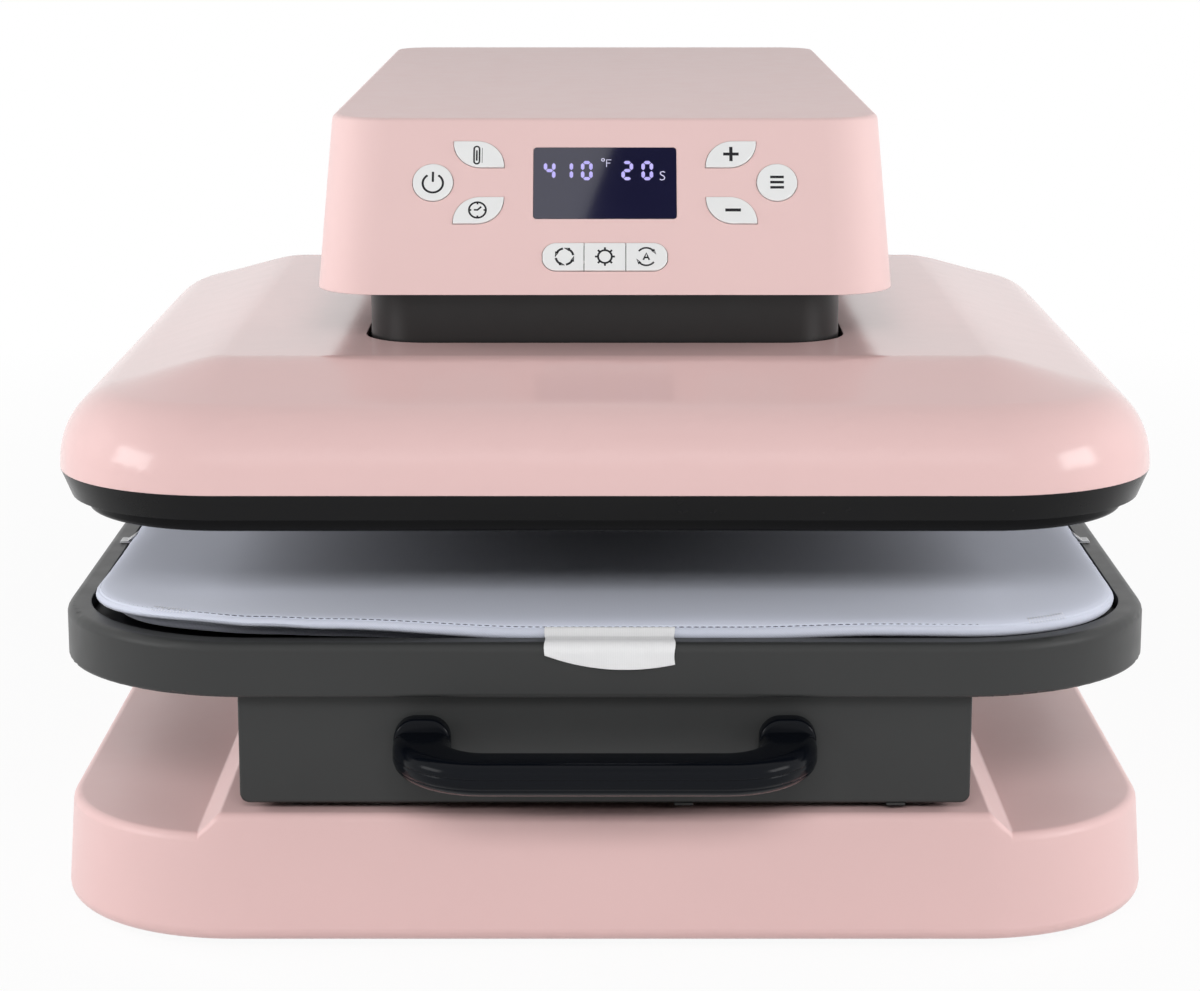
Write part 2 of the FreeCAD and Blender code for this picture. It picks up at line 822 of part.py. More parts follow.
# -------------------------------------------------------------------- the covers
def column_cover():
    outer = slab(column_width, column_front, column_back, column_corner, plateau_top, head_low)
    inner = slab(column_width - 2 * wall, column_front + wall, column_back - wall,
                 column_corner - wall, plateau_top, head_low)
    half = rear_panel_width / 2 - rear_opening_margin
    low = rear_panel_low + rear_opening_margin
    high = rear_panel_high - rear_opening_margin
    window = box(-half, half, column_back - 2 * wall, column_back, low, high)
    holes = [Part.makeCylinder(screw_shank_radius, 2 * wall,
                               V(x, column_back - 2 * wall, z), BACKWARD)
             for x, z in rear_panel_corners()]
    return outer.cut(inner).cut([window, *holes])


def head_form(inset):
    """Leaning head, moved inwards by `inset` on its walls and its top."""
    high = head_top - inset
    share = (high - head_low) / head_height
    front, back = head_front + inset / math.cos(head_lean), head_back - inset
    half = column_width / 2 - inset
    side = [V(-half, front, head_low), V(-half, front + head_front_lean * share, high),
            V(-half, back - head_back_lean * share, high), V(-half, back, head_low)]
    face = [V(-half, 0, head_low), V(half, 0, head_low),
            V(half - head_side_draft * share, 0, high),
            V(-half + head_side_draft * share, 0, high)]
    lengthways = Part.Face(Part.makePolygon(side + side[:1])).extrude(ACROSS * 2 * half)
    crossways = Part.Face(Part.makePolygon(face + face[:1])).extrude(BACKWARD * head_back)
    blank = lengthways.common(crossways)
    middle = (front + back) / 2
    tall = [edge for edge in blank.Edges
            if abs(edge.BoundBox.ZLength - (high - head_low)) < tiny]
    fore = [edge for edge in tall if edge.BoundBox.Center.y < middle]
    rounded = blank.makeFillet(head_corner - inset, fore)
    aft = [edge for edge in rounded.Edges
           if abs(edge.BoundBox.ZLength - (high - head_low)) < tiny
           and edge.BoundBox.Center.y > back - 2 * head_back_lean]
    return rounded.makeFillet(head_back_corner - inset, aft)


def head_cover():
    outer = head_form(0)
    rim = [edge for edge in outer.Edges
           if abs(edge.BoundBox.ZMin - head_top) < tiny and edge.BoundBox.ZLength < tiny]
    shell = outer.makeFillet(head_top_round, rim).cut(head_form(wall))
    openings = [key_prism(face, key_gap, -panel_cut, panel_cut) for face in key_faces.values()]
    openings.append(display_prism(lens_gap, -panel_cut, panel_cut))
    return shell.cut(joined(openings))


def head_underside():
    """Plate that closes the head from below, in front of the column."""
    slice_ahead = box(-column_width, column_width, 0, column_front, head_low, underside_top)
    plate = head_form(wall + underside_gap).common(slice_ahead)
    gap = underside_gap
    hole = slab(neck_width + 2 * gap, neck_front - gap, neck_back + gap, neck_corner,
                head_low, underside_top)
    return plate.cut(hole)


def neck_sleeve():
    """Fixed shroud that the platen cover slides over; it hangs from a flange."""
    body = slab(neck_width, neck_front, neck_back, neck_corner, neck_low,
                underside_top + neck_flange_thickness)
    flange = slab(neck_width + 2 * neck_flange, neck_front - neck_flange,
                  neck_back + neck_flange, neck_corner + neck_flange,
                  underside_top, underside_top + neck_flange_thickness)
    bore = slab(neck_width - 2 * neck_wall, neck_front + neck_wall, neck_back - neck_wall,
                neck_corner - neck_wall, neck_low, underside_top + neck_flange_thickness)
    return joined([body, flange]).cut(bore)


# --------------------------------------------------------------- platen assembly
def platen_cover():
    outer = moulded(cover_width, 0, cover_depth, cover_corner,
                    crowned_edge(cover_corner, cover_low, cover_top))
    inner = moulded(cover_width - 2 * wall, wall, cover_depth - wall, cover_corner - wall,
                    crowned_edge(cover_corner - wall, cover_low, cover_top - wall))
    gap = neck_hole_gap
    hole = slab(neck_width + 2 * gap, neck_front - gap, neck_back + gap, neck_corner + gap,
                cover_top - 2 * wall, cover_top)
    return outer.cut(inner).cut(hole)


def trim_ring():
    """Dark tapering band under the cover, with the upstand for the bracket."""
    lower = outline(cover_width - 2 * trim_taper, trim_taper, cover_depth - trim_taper,
                    cover_corner - trim_taper, trim_low)
    upper = outline(cover_width, 0, cover_depth, cover_corner, cover_low)
    band = Part.makeLoft([lower, upper], True, True)
    inset = trim_post_inset
    post = slab(cover_width - 2 * inset, inset, cover_depth - inset, cover_corner - inset,
                trim_low, bracket_low)
    inset += trim_post_wall
    bore = slab(cover_width - 2 * inset, inset, cover_depth - inset, cover_corner - inset,
                trim_low, bracket_low)
    return joined([band, post]).cut(bore)


def platen_opening(low, high):
    gap = platen_gap
    return slab(platen_size + 2 * gap, platen_front - gap, platen_back + gap,
                platen_corner + gap, low, high)


def heat_guard_ring():
    edge = rounded_edge(guard_corner, guard_low, trim_low, guard_round, guard_top_round)
    ring = moulded(guard_width, cover_overhang, cover_depth - cover_overhang, guard_corner,
                   edge)
    return ring.cut(platen_opening(guard_low, trim_low))


def element_path(z):
    """Centre line of the heater: two long loops joined in the middle."""
    front = platen_front + element_front_inset
    back = platen_back - element_front_inset
    middle = platen_back - element_middle_inset
    points = [(-terminal_x, back), (-element_outer_x, back), (-element_outer_x, front),
              (-element_inner_x, front), (-element_inner_x, middle),
              (element_inner_x, middle), (element_inner_x, front),
              (element_outer_x, front), (element_outer_x, back), (terminal_x, back)]
    return rounded_path([V(x, y, z) for x, y in points], element_bend)


def rounded_path(points, radius):
    """Wire of straight runs joined by tangent arcs; every turn is a right angle."""
    curves, start = [], points[0]
    for before, point, after in zip(points, points[1:], points[2:]):
        into = (point - before).normalize()
        out = (after - point).normalize()
        first, last = point - into * radius, point + out * radius
        centre = first + out * radius
        halfway = centre + (point - centre).normalize() * radius
        curves += [line(start, first), Part.Arc(first, halfway, last)]
        start = last
    curves.append(line(start, points[-1]))
    return wire_of(curves)


def sweep(path, start, direction, radius):
    profile = Part.Wire(Part.Circle(start, direction, radius).toShape())
    return path.makePipeShell([profile], True, False, 2)


def terminal_places():
    back = platen_back - element_front_inset
    return [(-terminal_x, back), (terminal_x, back)]


def heating_element():
    level = platen_top - element_radius
    start = V(*terminal_places()[0], level)
    run = sweep(element_path(level), start, -ACROSS, element_radius)
    posts = [rod(x, y, level, bracket_top + terminal_height, element_radius)
             for x, y in terminal_places()]
    return joined([run, *posts])


def heat_platen():
    plate = slab(platen_size, platen_front, platen_back, platen_corner, platen_low, platen_top)
    depth = 2 * element_radius + element_groove_gap
    half = element_radius + element_groove_gap
    groove = element_path(platen_top - depth).makeOffset2D(half, fill=True)
    holes = [rod(x, y, platen_top - platen_bolt_grip, platen_top, platen_bolt_radius)
             for x, y in standoff_places()]
    return plate.cut(groove.extrude(UP * depth)).cut(holes)


def standoff_places():
    return corners_of(standoff_x, standoff_x, press_y)


def platen_standoffs():
    return group([tube(x, y, platen_top, bracket_low, standoff_radius, platen_bolt_radius)
                  for x, y in standoff_places()])


def platen_bolts():
    """Bolts that hang the platen from its bracket, and the shoulder bolts
    inside the springs that hang the bracket from the carriage."""
    low = platen_top - platen_bolt_grip
    bolts = [bolt(x, y, low, bracket_top, platen_bolt_radius, platen_bolt_head_radius,
                  bolt_head_height) for x, y in standoff_places()]
    bolts += [bolt(x, y, bracket_top, carriage_top, shoulder_radius, shoulder_head_radius,
                   bolt_head_height) for x, y in spring_places()]
    return group(bolts)


def insulation_blanket():
    inset = blanket_inset
    blanket = slab(platen_size - 2 * inset, platen_front + inset, platen_back - inset,
                   platen_corner, platen_top + seat_gap, bracket_low - seat_gap)
    low, high, gap = platen_top, bracket_low, blanket_gap
    holes = [rod(x, y, low, high, standoff_radius + gap) for x, y in standoff_places()]
    holes += [rod(x, y, low, high, element_radius + gap) for x, y in terminal_places()]
    holes.append(rod(cutout_x, press_y, low, high, cutout_radius + gap))
    holes.append(rod(0, press_y, low, high, screw_well_radius))
    gap += probe_radius
    holes.append(box(probe_x - gap, probe_x + gap, press_y - probe_length / 2 - gap,
                     press_y + probe_length / 2 + gap, low, high))
    return blanket.cut(holes)


def thermal_sensors():
    """Thermal cut-out disc and temperature probe on top of the platen."""
    cutout = rod(cutout_x, press_y, platen_top, platen_top + cutout_height, cutout_radius)
    start = V(probe_x, press_y - probe_length / 2, platen_top + probe_radius)
    stem = Part.makeCylinder(probe_radius, probe_length, start, BACKWARD)
    clip = box(probe_x - probe_radius, probe_x + probe_radius, press_y - probe_radius,
               press_y + probe_radius, platen_top, platen_top + probe_radius)
    return group([cutout, joined([stem, clip])])


def platen_bracket():
    """Pressed plate that carries the platen, the rings and the guide rods."""
    inset = trim_post_inset
    plate = slab(cover_width - 2 * inset, inset, cover_depth - inset, cover_corner - inset,
                 bracket_low, bracket_top)
    low, high = bracket_low, bracket_top
    holes = [rod(x, y, low, high, platen_bolt_radius) for x, y in standoff_places()]
    holes += [rod(x, y, low, high, element_radius + terminal_gap) for x, y in terminal_places()]
    holes += [rod(x, y, low, high, bracket_relief / 2)
              for x, y in ((-bracket_relief_x, press_y), (bracket_relief_x, press_y))]
    holes.append(rod(0, press_y, low, high, screw_well_radius))
    return plate.cut(holes)


# --------------------------------------------------------------- lift mechanism
def spring_places():
    return corners_of(spring_x, spring_x, press_y)


def disc_springs():
    """Four stacks of disc springs between the bracket and the carriage."""
    step = spring_height / spring_discs
    inner_face, outer_face = [], []
    for count in range(spring_discs + 1):
        level = bracket_top + count * step
        swing = 0 if count % 2 == 0 else spring_outer - spring_inner - spring_wall
        inner_face.append(V(spring_inner + swing, 0, level))
        outer_face.append(V(spring_inner + spring_wall + swing, 0, level))
    points = inner_face + outer_face[::-1]
    face = Part.Face(Part.makePolygon(points + points[:1]))
    stack = face.revolve(V(0, 0, 0), UP, 360)
    stacks = []
    for x, y in spring_places():
        copy = stack.copy()
        copy.translate(V(x, y, 0))
        stacks.append(copy)
    return group(stacks)


def lift_carriage():
    plate = slab(carriage_width, press_y - carriage_depth / 2, press_y + carriage_depth / 2,
                 carriage_corner, carriage_low, carriage_top)
    holes = [rod(x, y, carriage_low, carriage_top, shoulder_radius) for x, y in spring_places()]
    holes += [rod(x, y, carriage_low, carriage_top, rod_radius)
              for x, y in corners_of(rod_x, rod_y, press_y)]
    holes.append(rod(0, press_y, carriage_low, carriage_top, nut_radius))
    return plate.cut(holes)


def lift_nut():
    body = rod(0, press_y, carriage_low, carriage_low + nut_length, nut_radius)
    flange = rod(0, press_y, carriage_top, carriage_top + nut_flange_thickness,
                 nut_flange_radius)
    bore = rod(0, press_y, carriage_low, carriage_low + nut_length, screw_radius + running)
    return joined([body, flange]).cut(bore)


def guide_rods():
    return group([rod(x, y, bracket_top, rod_top, rod_radius)
                  for x, y in corners_of(rod_x, rod_y, press_y)])


def head_bearings():
    """Bushings of the guide rods and the bearing of the lead screw."""
    low, high = head_plate_low - bushing_below, head_plate_top + bushing_above
    bearings = [tube(x, y, low, high, bushing_radius, rod_radius + running)
                for x, y in corners_of(rod_x, rod_y, press_y)]
    bearings.append(tube(0, press_y, head_plate_low, head_plate_top, bearing_radius,
                         journal_radius + running))
    return group(bearings)


def lead_screw():
    shoulder = head_plate_low - bearing_gap
    screw = rod(0, press_y, platen_top + screw_tip_gap, shoulder, screw_radius)
    collar = rod(0, press_y, shoulder - collar_thickness, shoulder, collar_radius)
    journal = rod(0, press_y, shoulder, gear_low + gear_hub_height, journal_radius)
    return joined([screw, collar, journal])


def gear_blank(teeth, phase, low, high):
    """Spur gear centred on the Z axis; `phase` turns it, in degrees."""
    pitch = gear_module * teeth / 2
    base = pitch * math.cos(math.radians(pressure_angle))
    tip, root = pitch + gear_module, pitch - dedendum * gear_module
    start = max(base, root)

    def roll(radius):
        angle = math.acos(min(1.0, base / radius))
        return math.tan(angle) - angle

    half_tooth = math.pi / (2 * teeth) - gear_backlash / (2 * pitch)
    radii = [start + (tip - start) * step / flank_steps for step in range(flank_steps + 1)]
    flank = [(radius, half_tooth + roll(pitch) - roll(radius)) for radius in radii]
    if root < base:
        flank.insert(0, (root, flank[0][1]))
    points = []
    for tooth in range(teeth):
        middle = 2 * math.pi * tooth / teeth + math.radians(phase)
        for radius, angle in flank:
            points.append((radius, middle - angle))
        for radius, angle in flank[::-1]:
            points.append((radius, middle + angle))
    corners = [V(r * math.cos(a), r * math.sin(a), low) for r, a in points]
    face = Part.Face(Part.makePolygon(corners + corners[:1]))
    return face.extrude(UP * (high - low))


def placed_gear(teeth, phase, y, bore_radius):
    gear = gear_blank(teeth, phase, gear_low, gear_low + gear_thickness)
    gear.translate(V(0, y, 0))
    return gear.cut(rod(0, y, gear_low, gear_low + gear_thickness, bore_radius))


def screw_gear():
    gear = placed_gear(gear_teeth, 90, press_y, journal_radius)
    hub = tube(0, press_y, gear_low + gear_thickness, gear_low + gear_hub_height,
               gear_hub_radius, journal_radius)
    return joined([gear, hub])


def motor_pinion():
    """Pinion with the motor's output shaft."""
    half_pitch = 180 / pinion_teeth
    pinion = placed_gear(pinion_teeth, 270 + half_pitch, motor_y, motor_shaft_radius)
    shaft = rod(0, motor_y, head_plate_low - bushing_below, gear_low + gear_hub_height,
                motor_shaft_radius)
    return joined([pinion, shaft])


def gear_motor():
    low = head_plate_low - motor_height
    can = rod(0, motor_y, low, head_plate_low, motor_radius)
    nose = rod(0, motor_y, head_plate_low, head_plate_top, motor_nose_radius)
    bore = rod(0, motor_y, head_plate_low - bushing_below, head_plate_top,
               motor_shaft_radius + running)
    return joined([can, nose]).cut(bore)


def limit_switches():
    """Two microswitches on the frame arm beside the carriage's guide rods."""
    across, along, tall = switch_size
    inner = plate_x - plate_thickness / 2
    switches = []
    for y in (press_y - switch_spacing / 2, press_y + switch_spacing / 2):
        body = box(inner - across, inner, y - along / 2, y + along / 2,
                   head_plate_top, head_plate_top + tall)
        lever = box(inner - across, inner, y - along / 2, y + along / 2,
                    head_plate_top + tall, head_plate_top + tall + switch_lever)
        switches.append(joined([body, lever]))
    return group(switches)


# ------------------------------------------------------------- drawer and tray
def drawer_box():
    """Box under the tray, open below and behind, with rounded lower corners."""
    tall = box_height + box_corner
    blank = upright(rounded_rectangle(box_width, tall, box_corner, y=box_low + tall / 2),
                    box_front, box_back)
    rim = [edge for edge in blank.Edges
           if edge.BoundBox.YLength < tiny and abs(edge.BoundBox.YMin - box_front) < tiny]
    blank = blank.makeFillet(box_front_round, rim)
    above = box(-box_width, box_width, 0, 2 * box_back, box_top, box_top + tall)
    cavity = box(-box_inner, box_inner, box_front + wall, box_back, 0, box_top - wall)
    tabs = [box(x - tab_width / 2, x + tab_width / 2, box_front, box_front + wall,
                box_low - tab_drop, box_low) for x in tab_places]
    holes = [Part.makeCylinder(handle_bolt_radius, wall, V(x, box_front, handle_z), BACKWARD)
             for x in handle_foot_places()]
    return joined([blank.cut([above, cavity]), *tabs]).cut(holes)


def tray():
    outer = moulded(tray_width, 0, tray_depth, tray_corner,
                    rounded_edge(tray_corner, tray_low, tray_top,
                                 tray_foot_round, tray_top_round))
    pocket = slab(tray_width - 2 * tray_rim, tray_rim, tray_depth - tray_rim,
                  tray_corner - tray_rim, lower_platen_low, tray_top)
    return outer.cut(pocket)


def tray_fill(low, high, gap):
    inset = tray_rim + gap
    return slab(tray_width - 2 * inset, inset, tray_depth - inset, tray_corner - inset,
                low, high)


def lower_platen():
    return tray_fill(lower_platen_low, mat_low, slip)


def silicone_mat():
    return tray_fill(mat_low, mat_top, slip)


def press_pad():
    """Cushioned pad: a rounded edge with a shallow crown."""
    low, shoulder = pad_low + seat_gap, pad_low + pad_edge_height
    foot = V(pad_corner - pad_foot_inset, 0, low)
    bulge = V(pad_corner, 0, (low + shoulder) / 2)
    brow = V(pad_corner - pad_shoulder_inset, 0, shoulder)
    top = V(pad_corner - pad_crown_inset, 0, pad_top)
    over = (brow + top) * 0.5 + UP * pad_crown_rise
    edge = [Part.Arc(foot, bulge, brow), Part.Arc(brow, over, top)]
    return moulded(pad_width, pad_front, pad_front + pad_depth, pad_corner, edge)


def pad_tags():
    """Blank woven label over the front rim, and a small loop on each side."""
    top = tray_top + seat_gap
    face = -seat_gap
    bend = tray_top_round + seat_gap
    outer = bend + tag_thickness
    centre = V(-tag_width / 2, tray_top_round, tray_top - tray_top_round)
    start = V(-tag_width / 2, pad_front - seat_gap, top)
    corner_in = V(-tag_width / 2, tray_top_round, top)
    low = tray_top - tag_hang
    diagonal = V(0, -math.sqrt(0.5), math.sqrt(0.5))
    curves = [
        line(start, corner_in),
        Part.Arc(corner_in, centre + diagonal * bend, V(-tag_width / 2, face, centre.z)),
        line(V(-tag_width / 2, face, centre.z), V(-tag_width / 2, face, low)),
        line(V(-tag_width / 2, face, low), V(-tag_width / 2, face - tag_thickness, low)),
        line(V(-tag_width / 2, face - tag_thickness, low),
             V(-tag_width / 2, face - tag_thickness, centre.z)),
        Part.Arc(V(-tag_width / 2, face - tag_thickness, centre.z),
                 centre + diagonal * outer, corner_in + UP * tag_thickness),
        line(corner_in + UP * tag_thickness, start + UP * tag_thickness),
        line(start + UP * tag_thickness, start),
    ]
    label = Part.Face(wire_of(curves)).extrude(ACROSS * tag_width)
    edge = pad_width / 2 + seat_gap
    loop = box(edge, edge + tab_tall, pad_front + tab_setback,
               pad_front + tab_setback + tab_length, top, top + tag_thickness)
    return group([label, loop, mirrored(loop)])


# --------------------------------------------------------------------- handle
def handle_foot_places():
    inset = (handle_width - handle_foot_width) / 2
    return (-inset, inset)


def drawer_handle():
    """Bowed bar whose arms drop slightly towards the front."""
    reach = handle_reach - handle_foot_width / 2
    slope = handle_drop / reach
    half = handle_foot_places()[1]
    bar_y = box_front - reach
    radius = handle_bend

    def at(x, y):
        return V(x, y, handle_z - (box_front - y) * slope)

    def bend(side, first, last):
        centre = at(side * (half - radius), bar_y + radius)
        share = math.sqrt(0.5) * radius
        middle = at(side * (half - radius + share), bar_y + radius - share)
        return Part.Arc(first, middle, last), centre

    left, right = at(-half, bar_y + radius), at(half, bar_y + radius)
    left_bar, right_bar = at(-half + radius, bar_y), at(half - radius, bar_y)
    bars = [line(at(-half, box_front), left), bend(-1, left, left_bar)[0],
            line(left_bar, right_bar), bend(1, right_bar, right)[0],
            line(right, at(half, box_front))]
    section = outline(handle_foot_width, -handle_thick / 2, handle_thick / 2,
                      handle_round, 0)
    section.rotate(V(0, 0, 0), ACROSS, 90)
    section.translate(V(-half, box_front, handle_z))
    grip = wire_of(bars).makePipeShell([section], True, False, 2)
    pads = [handle_foot(x) for x in handle_foot_places()]
    holes = [Part.makeCylinder(handle_bolt_radius, handle_bolt_grip,
                               V(x, box_front - handle_bolt_grip, handle_z), BACKWARD)
             for x in handle_foot_places()]
    keep = box(-base_width, base_width, handle_front - handle_reach, box_front,
               base_low, cover_top)
    return joined([grip.common(keep), *pads]).cut(holes)


def handle_foot(x):
    """Boss with a rounded top and bottom where an arm meets the drawer box."""
    face = rounded_rectangle(handle_foot_width, handle_foot_width, handle_foot_round, x=x)
    foot = face.extrude(UP * handle_foot_depth)
    foot.rotate(V(0, 0, 0), ACROSS, 90)
    foot.translate(V(0, box_front, handle_z))
    return foot


def handle_bolts():
    bolts = []
    for x in handle_foot_places():
        tip = box_front - handle_bolt_grip
        bolts.append(screw_along_y(x, handle_z, tip, box_front + wall, handle_bolt_radius,
                                   handle_bolt_head, bolt_head_height))
    return group(bolts)


# -------------------------------------------------------------- control panel
panel_cut = wall + key_proud   # cutters reach this far through the panel


def leaf(x, up, rises_right):
    """Face of a leaf-shaped key: two opposite corners are broadly rounded."""
    half, tall = leaf_width / 2, leaf_height / 2
    share = leaf_round * (1 - math.sqrt(0.5))
    left, right, low, high = x - half, x + half, up - tall, up + tall
    curves = [
        line(V(left, low), V(right - leaf_round, low)),
        Part.Arc(V(right - leaf_round, low), V(right - share, low + share),
                 V(right, low + leaf_round)),
        line(V(right, low + leaf_round), V(right, high)),
        line(V(right, high), V(left + leaf_round, high)),
        Part.Arc(V(left + leaf_round, high), V(left + share, high - share),
                 V(left, high - leaf_round)),
        line(V(left, high - leaf_round), V(left, low)),
    ]
    face = Part.Face(wire_of(curves))
    if rises_right:
        return face
    face.translate(V(-x, 0, 0))
    face = face.mirror(V(0, 0, 0), ACROSS)
    face.translate(V(x, 0, 0))
    return face


def round_face(x, up, radius):
    return Part.Face(Part.Wire(Part.Circle(V(x, up, 0), UP, radius).toShape()))


def mode_key_face(place):
    """One of the three keys in the lower row; the outer two have round ends."""
    half, tall = (mode_pitch - mode_gap) / 2, mode_height / 2
    x = place * mode_pitch
    square = Part.Face(Part.makePolygon([
        V(x - half, mode_up - tall), V(x + half, mode_up - tall),
        V(x + half, mode_up + tall), V(x - half, mode_up + tall),
        V(x - half, mode_up - tall)]))
    if place == 0:
        return square
    pill = rounded_rectangle(3 * mode_pitch, mode_height, tall - mode_gap, y=mode_up)
    return square.common(pill).Faces[0]


key_faces = {
    "power_key": round_face(-round_key_x, round_key_up, round_key_radius),
    "function_key": round_face(round_key_x, round_key_up, round_key_radius),
    "temperature_key": leaf(-leaf_x, leaf_up[1], False),
    "timer_key": leaf(-leaf_x, leaf_up[0], True),
    "plus_key": leaf(leaf_x, leaf_up[1], True),
    "minus_key": leaf(leaf_x, leaf_up[0], False),
    "cycle_key": mode_key_face(-1),
    "light_key": mode_key_face(0),
    "auto_key": mode_key_face(1),
}


lower_row = ("cycle_key", "light_key", "auto_key")


def key_prism(face, grow, low, high):
    """Key outline, grown sideways, from one depth below the panel to another."""
    base = face.makeOffset2D(grow) if grow else face.copy()
    base.translate(UP * low)
    return on_panel(base.extrude(UP * (high - low)))


def key_cap(face, low):
    """Key with a rounded rim, from one depth below the panel to its own face."""
    base = face.copy()
    base.translate(UP * low)
    cap = base.extrude(UP * (key_proud - low))
    rim = [edge for edge in cap.Edges if abs(edge.BoundBox.ZMin - key_proud) < tiny]
    return on_panel(cap.makeFillet(key_round, rim))


def display_prism(grow, low, high):
    face = rounded_rectangle(display_width + 2 * grow, display_height + 2 * grow,
                             display_corner + grow, y=display_up)
    face.translate(UP * low)
    return on_panel(face.extrude(UP * (high - low)))


def key_middle(face):
    return face.BoundBox.Center.x, face.BoundBox.Center.y


def key(name):
    """Key cap with a retaining flange behind the panel and a plunger."""
    face = key_faces[name]
    back = -wall - key_behind
    front = back - key_flange_thickness
    cap = key_cap(face, front)
    x, up = key_middle(face)
    if name in lower_row:
        half, tall = face.BoundBox.XLength / 2, face.BoundBox.YLength / 2 + key_flange
        flange = on_panel(box(x - half, x + half, up - tall, up + tall, front, back))
    else:
        flange = key_prism(face, key_flange, front, back)
    plunger = rod(x, up, front - plunger_length, front, plunger_radius)
    return joined([cap, flange, on_panel(plunger)])


def key_board():
    """Circuit board behind the panel with one tactile switch for each key."""
    board = on_panel(box(-board_half, board_half, display_up - board_drop,
                         display_up + board_rise,
                         -board_depth - board_thickness, -board_depth))
    switches = []
    for face in key_faces.values():
        x, up = key_middle(face)
        half = tact_size / 2
        switches.append(on_panel(box(x - half, x + half, up - half, up + half,
                                     -board_depth, -board_depth + tact_height)))
    return group([board, *switches])


def display_module():
    return display_prism(-lens_gap, -board_depth, -lens_thickness)


def display_lens():
    return display_prism(0, -lens_thickness, 0)


# ----------------------------------------------------------------- rear panel
def rear_panel_corners():
    half = rear_panel_width / 2 - panel_screw_inset
    low = rear_panel_low + panel_screw_inset
    high = rear_panel_high - panel_screw_inset
    return [(x, z) for x in (-half, half) for z in (low, high)]


def rear_panel():
    inner, outer = column_back, column_back + rear_panel_thickness
    height = rear_panel_high - rear_panel_low
    plate = upright(rounded_rectangle(rear_panel_width, height, rear_panel_corner,
                                      y=rear_panel_low + height / 2), inner, outer)
    cuts = [upright(rounded_rectangle(*inlet_body, body_round, x=inlet_x, y=service_z),
                    inner, outer),
            upright(rounded_rectangle(*rocker_body, body_round, x=rocker_x, y=service_z),
                    inner, outer)]
    first = -(vent_count - 1) / 2 * vent_pitch
    for count in range(vent_count):
        slot = rounded_rectangle(vent_width, vent_height, vent_round,
                                 x=first + count * vent_pitch,
                                 y=rear_panel_high - vent_drop - vent_height / 2)
        cuts.append(upright(slot, inner, outer))
    for x, z in rear_panel_corners():
        cuts.append(Part.makeCylinder(screw_shank_radius, rear_panel_thickness,
                                      V(x, inner, z), BACKWARD))
    return plate.cut(cuts)


def power_inlet():
    """Flanged inlet with three contact blades in its recess."""
    seat = column_back + rear_panel_thickness
    face = seat + inlet_flange_thickness
    body = upright(rounded_rectangle(*inlet_body, body_round, x=inlet_x, y=service_z),
                   seat - inlet_depth, seat)
    flange = upright(rounded_rectangle(*inlet_flange, inlet_flange_round, x=inlet_x,
                                       y=service_z), seat, face)
    start = face - inlet_recess_depth
    recess = upright(rounded_rectangle(*inlet_recess, inlet_recess_round, x=inlet_x,
                                       y=service_z), start, face)
    across, long, tall = blade_size
    blades = []
    for place in (-1, 0, 1):
        x = inlet_x + place * blade_spacing
        z = service_z + (blade_rise / 2 if place == 0 else -blade_rise / 2)
        blades.append(box(x - across / 2, x + across / 2, start, start + long,
                          z - tall / 2, z + tall / 2))
    return group([joined([body, flange]).cut(recess), *blades])


def switch_housing():
    seat = column_back + rear_panel_thickness
    face = seat + rocker_flange_thickness
    body = upright(rounded_rectangle(*rocker_body, body_round, x=rocker_x, y=service_z),
                   seat - rocker_depth, seat)
    flange = upright(rounded_rectangle(*rocker_flange, rocker_flange_round, x=rocker_x,
                                       y=service_z), seat, face)
    width = rocker_body[0] - 2 * rocker_wall
    height = rocker_body[1] - 2 * rocker_wall
    window = box(rocker_x - width / 2, rocker_x + width / 2, seat - rocker_depth + rocker_wall,
                 face, service_z - height / 2, service_z + height / 2)
    pins = [Part.makeCylinder(rocker_pin_radius, rocker_pin_length,
                              V(start, seat - rocker_pivot_depth, service_z), ACROSS)
            for start in (rocker_x - width / 2, rocker_x + width / 2 - rocker_pin_length)]
    return joined([joined([body, flange]).cut(window), *pins])


def rocker():
    """Rocker resting tilted to its off side, on the housing's two pins."""
    seat = column_back + rear_panel_thickness
    half_width = rocker_body[0] / 2 - rocker_wall - rocker_side_gap
    points = [(-rocker_half, -rocker_skirt), (-rocker_half, rocker_shoulder),
              (0, rocker_crest), (rocker_half, rocker_shoulder),
              (rocker_half, -rocker_skirt), (rocker_keel, -rocker_keel_drop),
              (-rocker_keel, -rocker_keel_drop)]
    corners = [V(rocker_x - half_width, out, up) for up, out in points]
    body = Part.Face(Part.makePolygon(corners + corners[:1])).extrude(
        ACROSS * (2 * half_width))
    depth = rocker_pin_length
    bores = [Part.makeCylinder(rocker_pin_radius + running, depth, V(start, 0, 0), ACROSS)
             for start in (rocker_x - half_width, rocker_x + half_width - depth)]
    body = body.cut(bores)
    body.rotate(V(0, 0, 0), ACROSS, -rocker_tilt)
    body.translate(V(0, seat - rocker_pivot_depth, service_z))
    return body


# ----------------------------------------------------------------- main board
def main_board():
    """Power and control board behind the column web, on four posts."""
    width, tall = main_board_size
    seat = plate_column_front + web_inset + cross_thickness
    front = seat + main_board_standoff
    left = -width / 2
    board = box(left, left + width, front, front + board_thickness,
                main_board_low, main_board_low + tall)
    inset = 2 * main_board_post
    posts = [Part.makeCylinder(main_board_post, main_board_standoff, V(x, seat, z), BACKWARD)
             for x in (left + inset, left + width - inset)
             for z in (main_board_low + inset, main_board_low + tall - inset)]
    back = front + board_thickness
    blocks = [box(left + x, left + x + across, back, back + deep,
                  main_board_low + z, main_board_low + z + high)
              for x, z, across, high, deep in component_boxes]
    return group([board, *posts, *blocks])


# ---------------------------------------------------------------------- export
handle_tip = drawer_handle().optimalBoundingBox(True, False).YMin
origin_y = (handle_tip + base_depth) / 2


